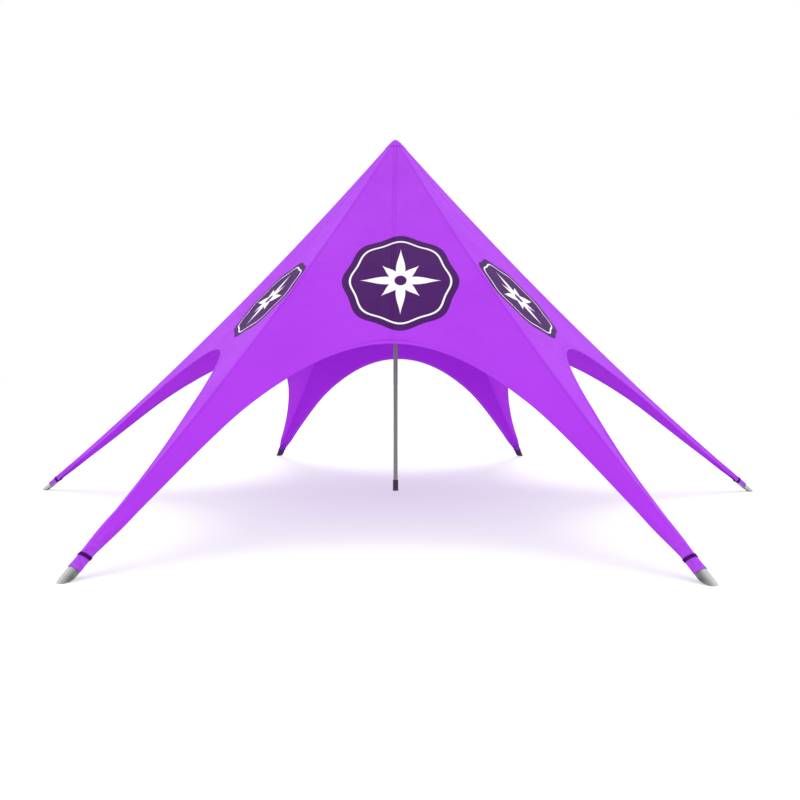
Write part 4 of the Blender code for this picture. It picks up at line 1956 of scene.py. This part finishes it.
@dataclass
class Studio:
    """The pale floor, the soft light and the camera at the photograph's viewing angle."""

    scale: float = 1.005
    distance: float = 9.28535
    eye: float = 1.54555
    turn: float = 1.0546
    aim: float = 0.3829
    pitch: float = -1.7199
    focal_pixels: float = 665.73
    picture: float = 800.0
    sensor: float = 36.0
    sight: float = 1000.0
    floor_size: float = 400.0
    floor_drop: float = 0.0005
    floor_tone: float = 0.52
    floor_glow: float = 0.48
    floor_roughness: float = 0.9
    floor_specular: float = 0.1
    lamp_angle: float = 35.0
    lamps: tuple[Lamp, ...] = (
        Lamp("key", 1.2, -22.0, 0.0),
        Lamp("left_fill", 0.25, 62.0, -90.0),
        Lamp("right_fill", 0.25, 62.0, 90.0),
    )

    def camera(self) -> None:
        """Set the camera: it stands a little to the right of the front and looks slightly down."""
        data = bpy.data.cameras.new("camera")
        data.sensor_width = self.sensor
        data.lens = self.focal_pixels / self.picture * self.sensor
        data.clip_end = self.sight
        camera = bpy.data.objects.new("camera", data)
        turn = math.radians(self.turn)
        away = self.distance * self.scale
        camera.location = (away * math.sin(turn), -away * math.cos(turn), self.eye * self.scale)
        heading = math.radians(self.turn - self.aim)
        camera.rotation_euler = (math.radians(90.0 + self.pitch), 0.0, heading)
        bpy.context.scene.collection.objects.link(camera)
        bpy.context.scene.camera = camera

    def floor(self) -> None:
        """Lay a plain pale floor just under the object."""
        half = self.floor_size / 2
        side = np.linspace(-half, half, 3)
        x, y = np.meshgrid(side, side, indexing="ij")
        floor = make_mesh("floor", stacked(x, y, -self.floor_drop), stacked(x, y))
        material = bpy.data.materials.new("pale_floor")
        material.use_nodes = True
        shader = material.node_tree.nodes["Principled BSDF"]
        shader.inputs["Base Color"].default_value = (*[self.floor_tone] * 3, 1.0)
        shader.inputs["Emission Color"].default_value = (1.0, 1.0, 1.0, 1.0)
        shader.inputs["Emission Strength"].default_value = self.floor_glow
        shader.inputs["Roughness"].default_value = self.floor_roughness
        shader.inputs["Specular IOR Level"].default_value = self.floor_specular
        floor.data.materials.append(material)

    def light(self) -> None:
        """Light the scene from a white surround, a broad lamp high behind the tent and one on each side."""
        world = bpy.data.worlds.new("white_surround")
        world.use_nodes = True
        surround = world.node_tree.nodes["Background"]
        surround.inputs["Color"].default_value = (1.0, 1.0, 1.0, 1.0)
        surround.inputs["Strength"].default_value = 1.0
        bpy.context.scene.world = world
        for lamp in self.lamps:
            data = bpy.data.lights.new(lamp.name, "SUN")
            data.energy = lamp.strength
            data.angle = math.radians(self.lamp_angle)
            item = bpy.data.objects.new(lamp.name, data)
            item.rotation_euler = (math.radians(lamp.tilt), 0.0, math.radians(lamp.bearing))
            bpy.context.scene.collection.objects.link(item)

    def build(self) -> None:
        """Set the stage, the light, the camera and the plain view transform."""
        self.floor()
        self.light()
        self.camera()
        bpy.context.scene.view_settings.view_transform = "Standard"
        bpy.context.scene.view_settings.look = "None"


@dataclass
class StarTent:
    """The whole tent, with the finishes that its parts share."""

    form: SkinForm = field(default_factory=SkinForm)
    effects: Effects = field(default_factory=Effects)
    phase_step: float = 1.3
    hem_rows: tuple[float, ...] = (0.006, 0.030)
    seam_rows: tuple[float, ...] = (-0.017, 0.017)
    band_rows: tuple[float, ...] = (0.006, 0.026)
    cap_rows: tuple[float, ...] = (-0.022, -0.008)
    inside: Colour = (0.350, 0.016, 0.690)
    # Painted light: a lighter copy of the inner cloth for the two side bays, so that the side arms'
    # undersides read brighter.
    side_inside: Colour = (0.420, 0.026, 0.758)
    rivet: Colour = (0.17, 0.175, 0.17)
    # Painted light: a lighter copy of the shoe metal, with lighter painted flank shade, for the shoes on the
    # left and right arms.
    pale: Colour = (0.66, 0.68, 0.64)
    pale_tarnish: Colour = (0.40, 0.42, 0.38)
    untarnished: tuple[float, float] = (5.0, 6.0)
    pale_arms: tuple[Arm, ...] = (Arm.LEFT, Arm.RIGHT)
    pale_bays: tuple[Bay, ...] = (Bay.LEFT_BACK, Bay.RIGHT_BACK)
    badges: dict[Bay, Badge] = field(default_factory=lambda: {
        Bay.FRONT: Badge(0.09, 2.90, 0.66, 0.80),
        Bay.LEFT_FRONT: Badge(0.45, 3.10, 0.65, 0.62),
        Bay.RIGHT_FRONT: Badge(-0.40, 3.08, 0.68, 0.66),
    })

    def build(self) -> None:
        """Build every sub-assembly in order."""
        effects = self.effects
        hem, seam, band, cap = (
            ClothFinish(name, rows=rows).make(effects)
            for name, rows in (
                ("purple_hem", self.hem_rows),
                ("purple_ridge_seam", self.seam_rows),
                ("purple_end_band", self.band_rows),
                ("purple_cap", self.cap_rows),
            )
        )
        inside = ClothFinish("purple_inside", self.inside).make(effects)
        side_inside = ClothFinish("purple_side_inside", self.side_inside).make(effects)
        for number, bay in enumerate(Bay):
            badge = self.badges.get(bay, Badge())
            cloth = ClothFinish(f"purple_cloth_{bay.label}", badge=badge).make(effects)
            lining = side_inside if bay in self.pale_bays else inside
            SkinBay(bay, self.form, self.phase_step * number).build(cloth, lining, hem)
        metal = MetalFinish("brushed_shoe_metal").make(effects)
        fixing = MetalFinish("worn_rivet_metal", self.rivet).make(effects)
        # The lighter, painted-light copy of the shoe metal for the left and right arms.
        pale = MetalFinish("pale_shoe_metal", self.pale, tarnish=self.pale_tarnish).make(effects)
        rubber = RubberFinish("black_rubber_moulded").make(effects)
        webbing = WebbingFinish("aubergine_strap").make(effects)
        for arm in Arm:
            ArmDress(arm, self.form).build(seam, inside, band, webbing)
            # Dark rubber in the shoes' hollows is a painted shadow; the left and right arms take the lighter
            # copy of the metal there instead.
            shell, lining = (pale, pale) if arm in self.pale_arms else (metal, rubber)
            ShoeShell(arm, self.form).build(shell, fixing, lining, rubber, inside)
        coating = PoleFinish("grey_pole_coat").make(effects)
        # The head takes no painted flank shade: its crown is wider than the whole head.
        crown_half, edge = self.untarnished
        satin = MetalFinish("satin_head_metal", crown_half=crown_half, edge=edge).make(effects)
        CentrePole(self.form).build(coating, satin, rubber)
        PeakCap(self.form).build(cap)


def main() -> None:
    """Dress the tent and set the stage."""
    logging.basicConfig(level=logging.INFO, format="%(message)s")
    StarTent().build()
    Studio().build()


if __name__ == "__main__":
    main()
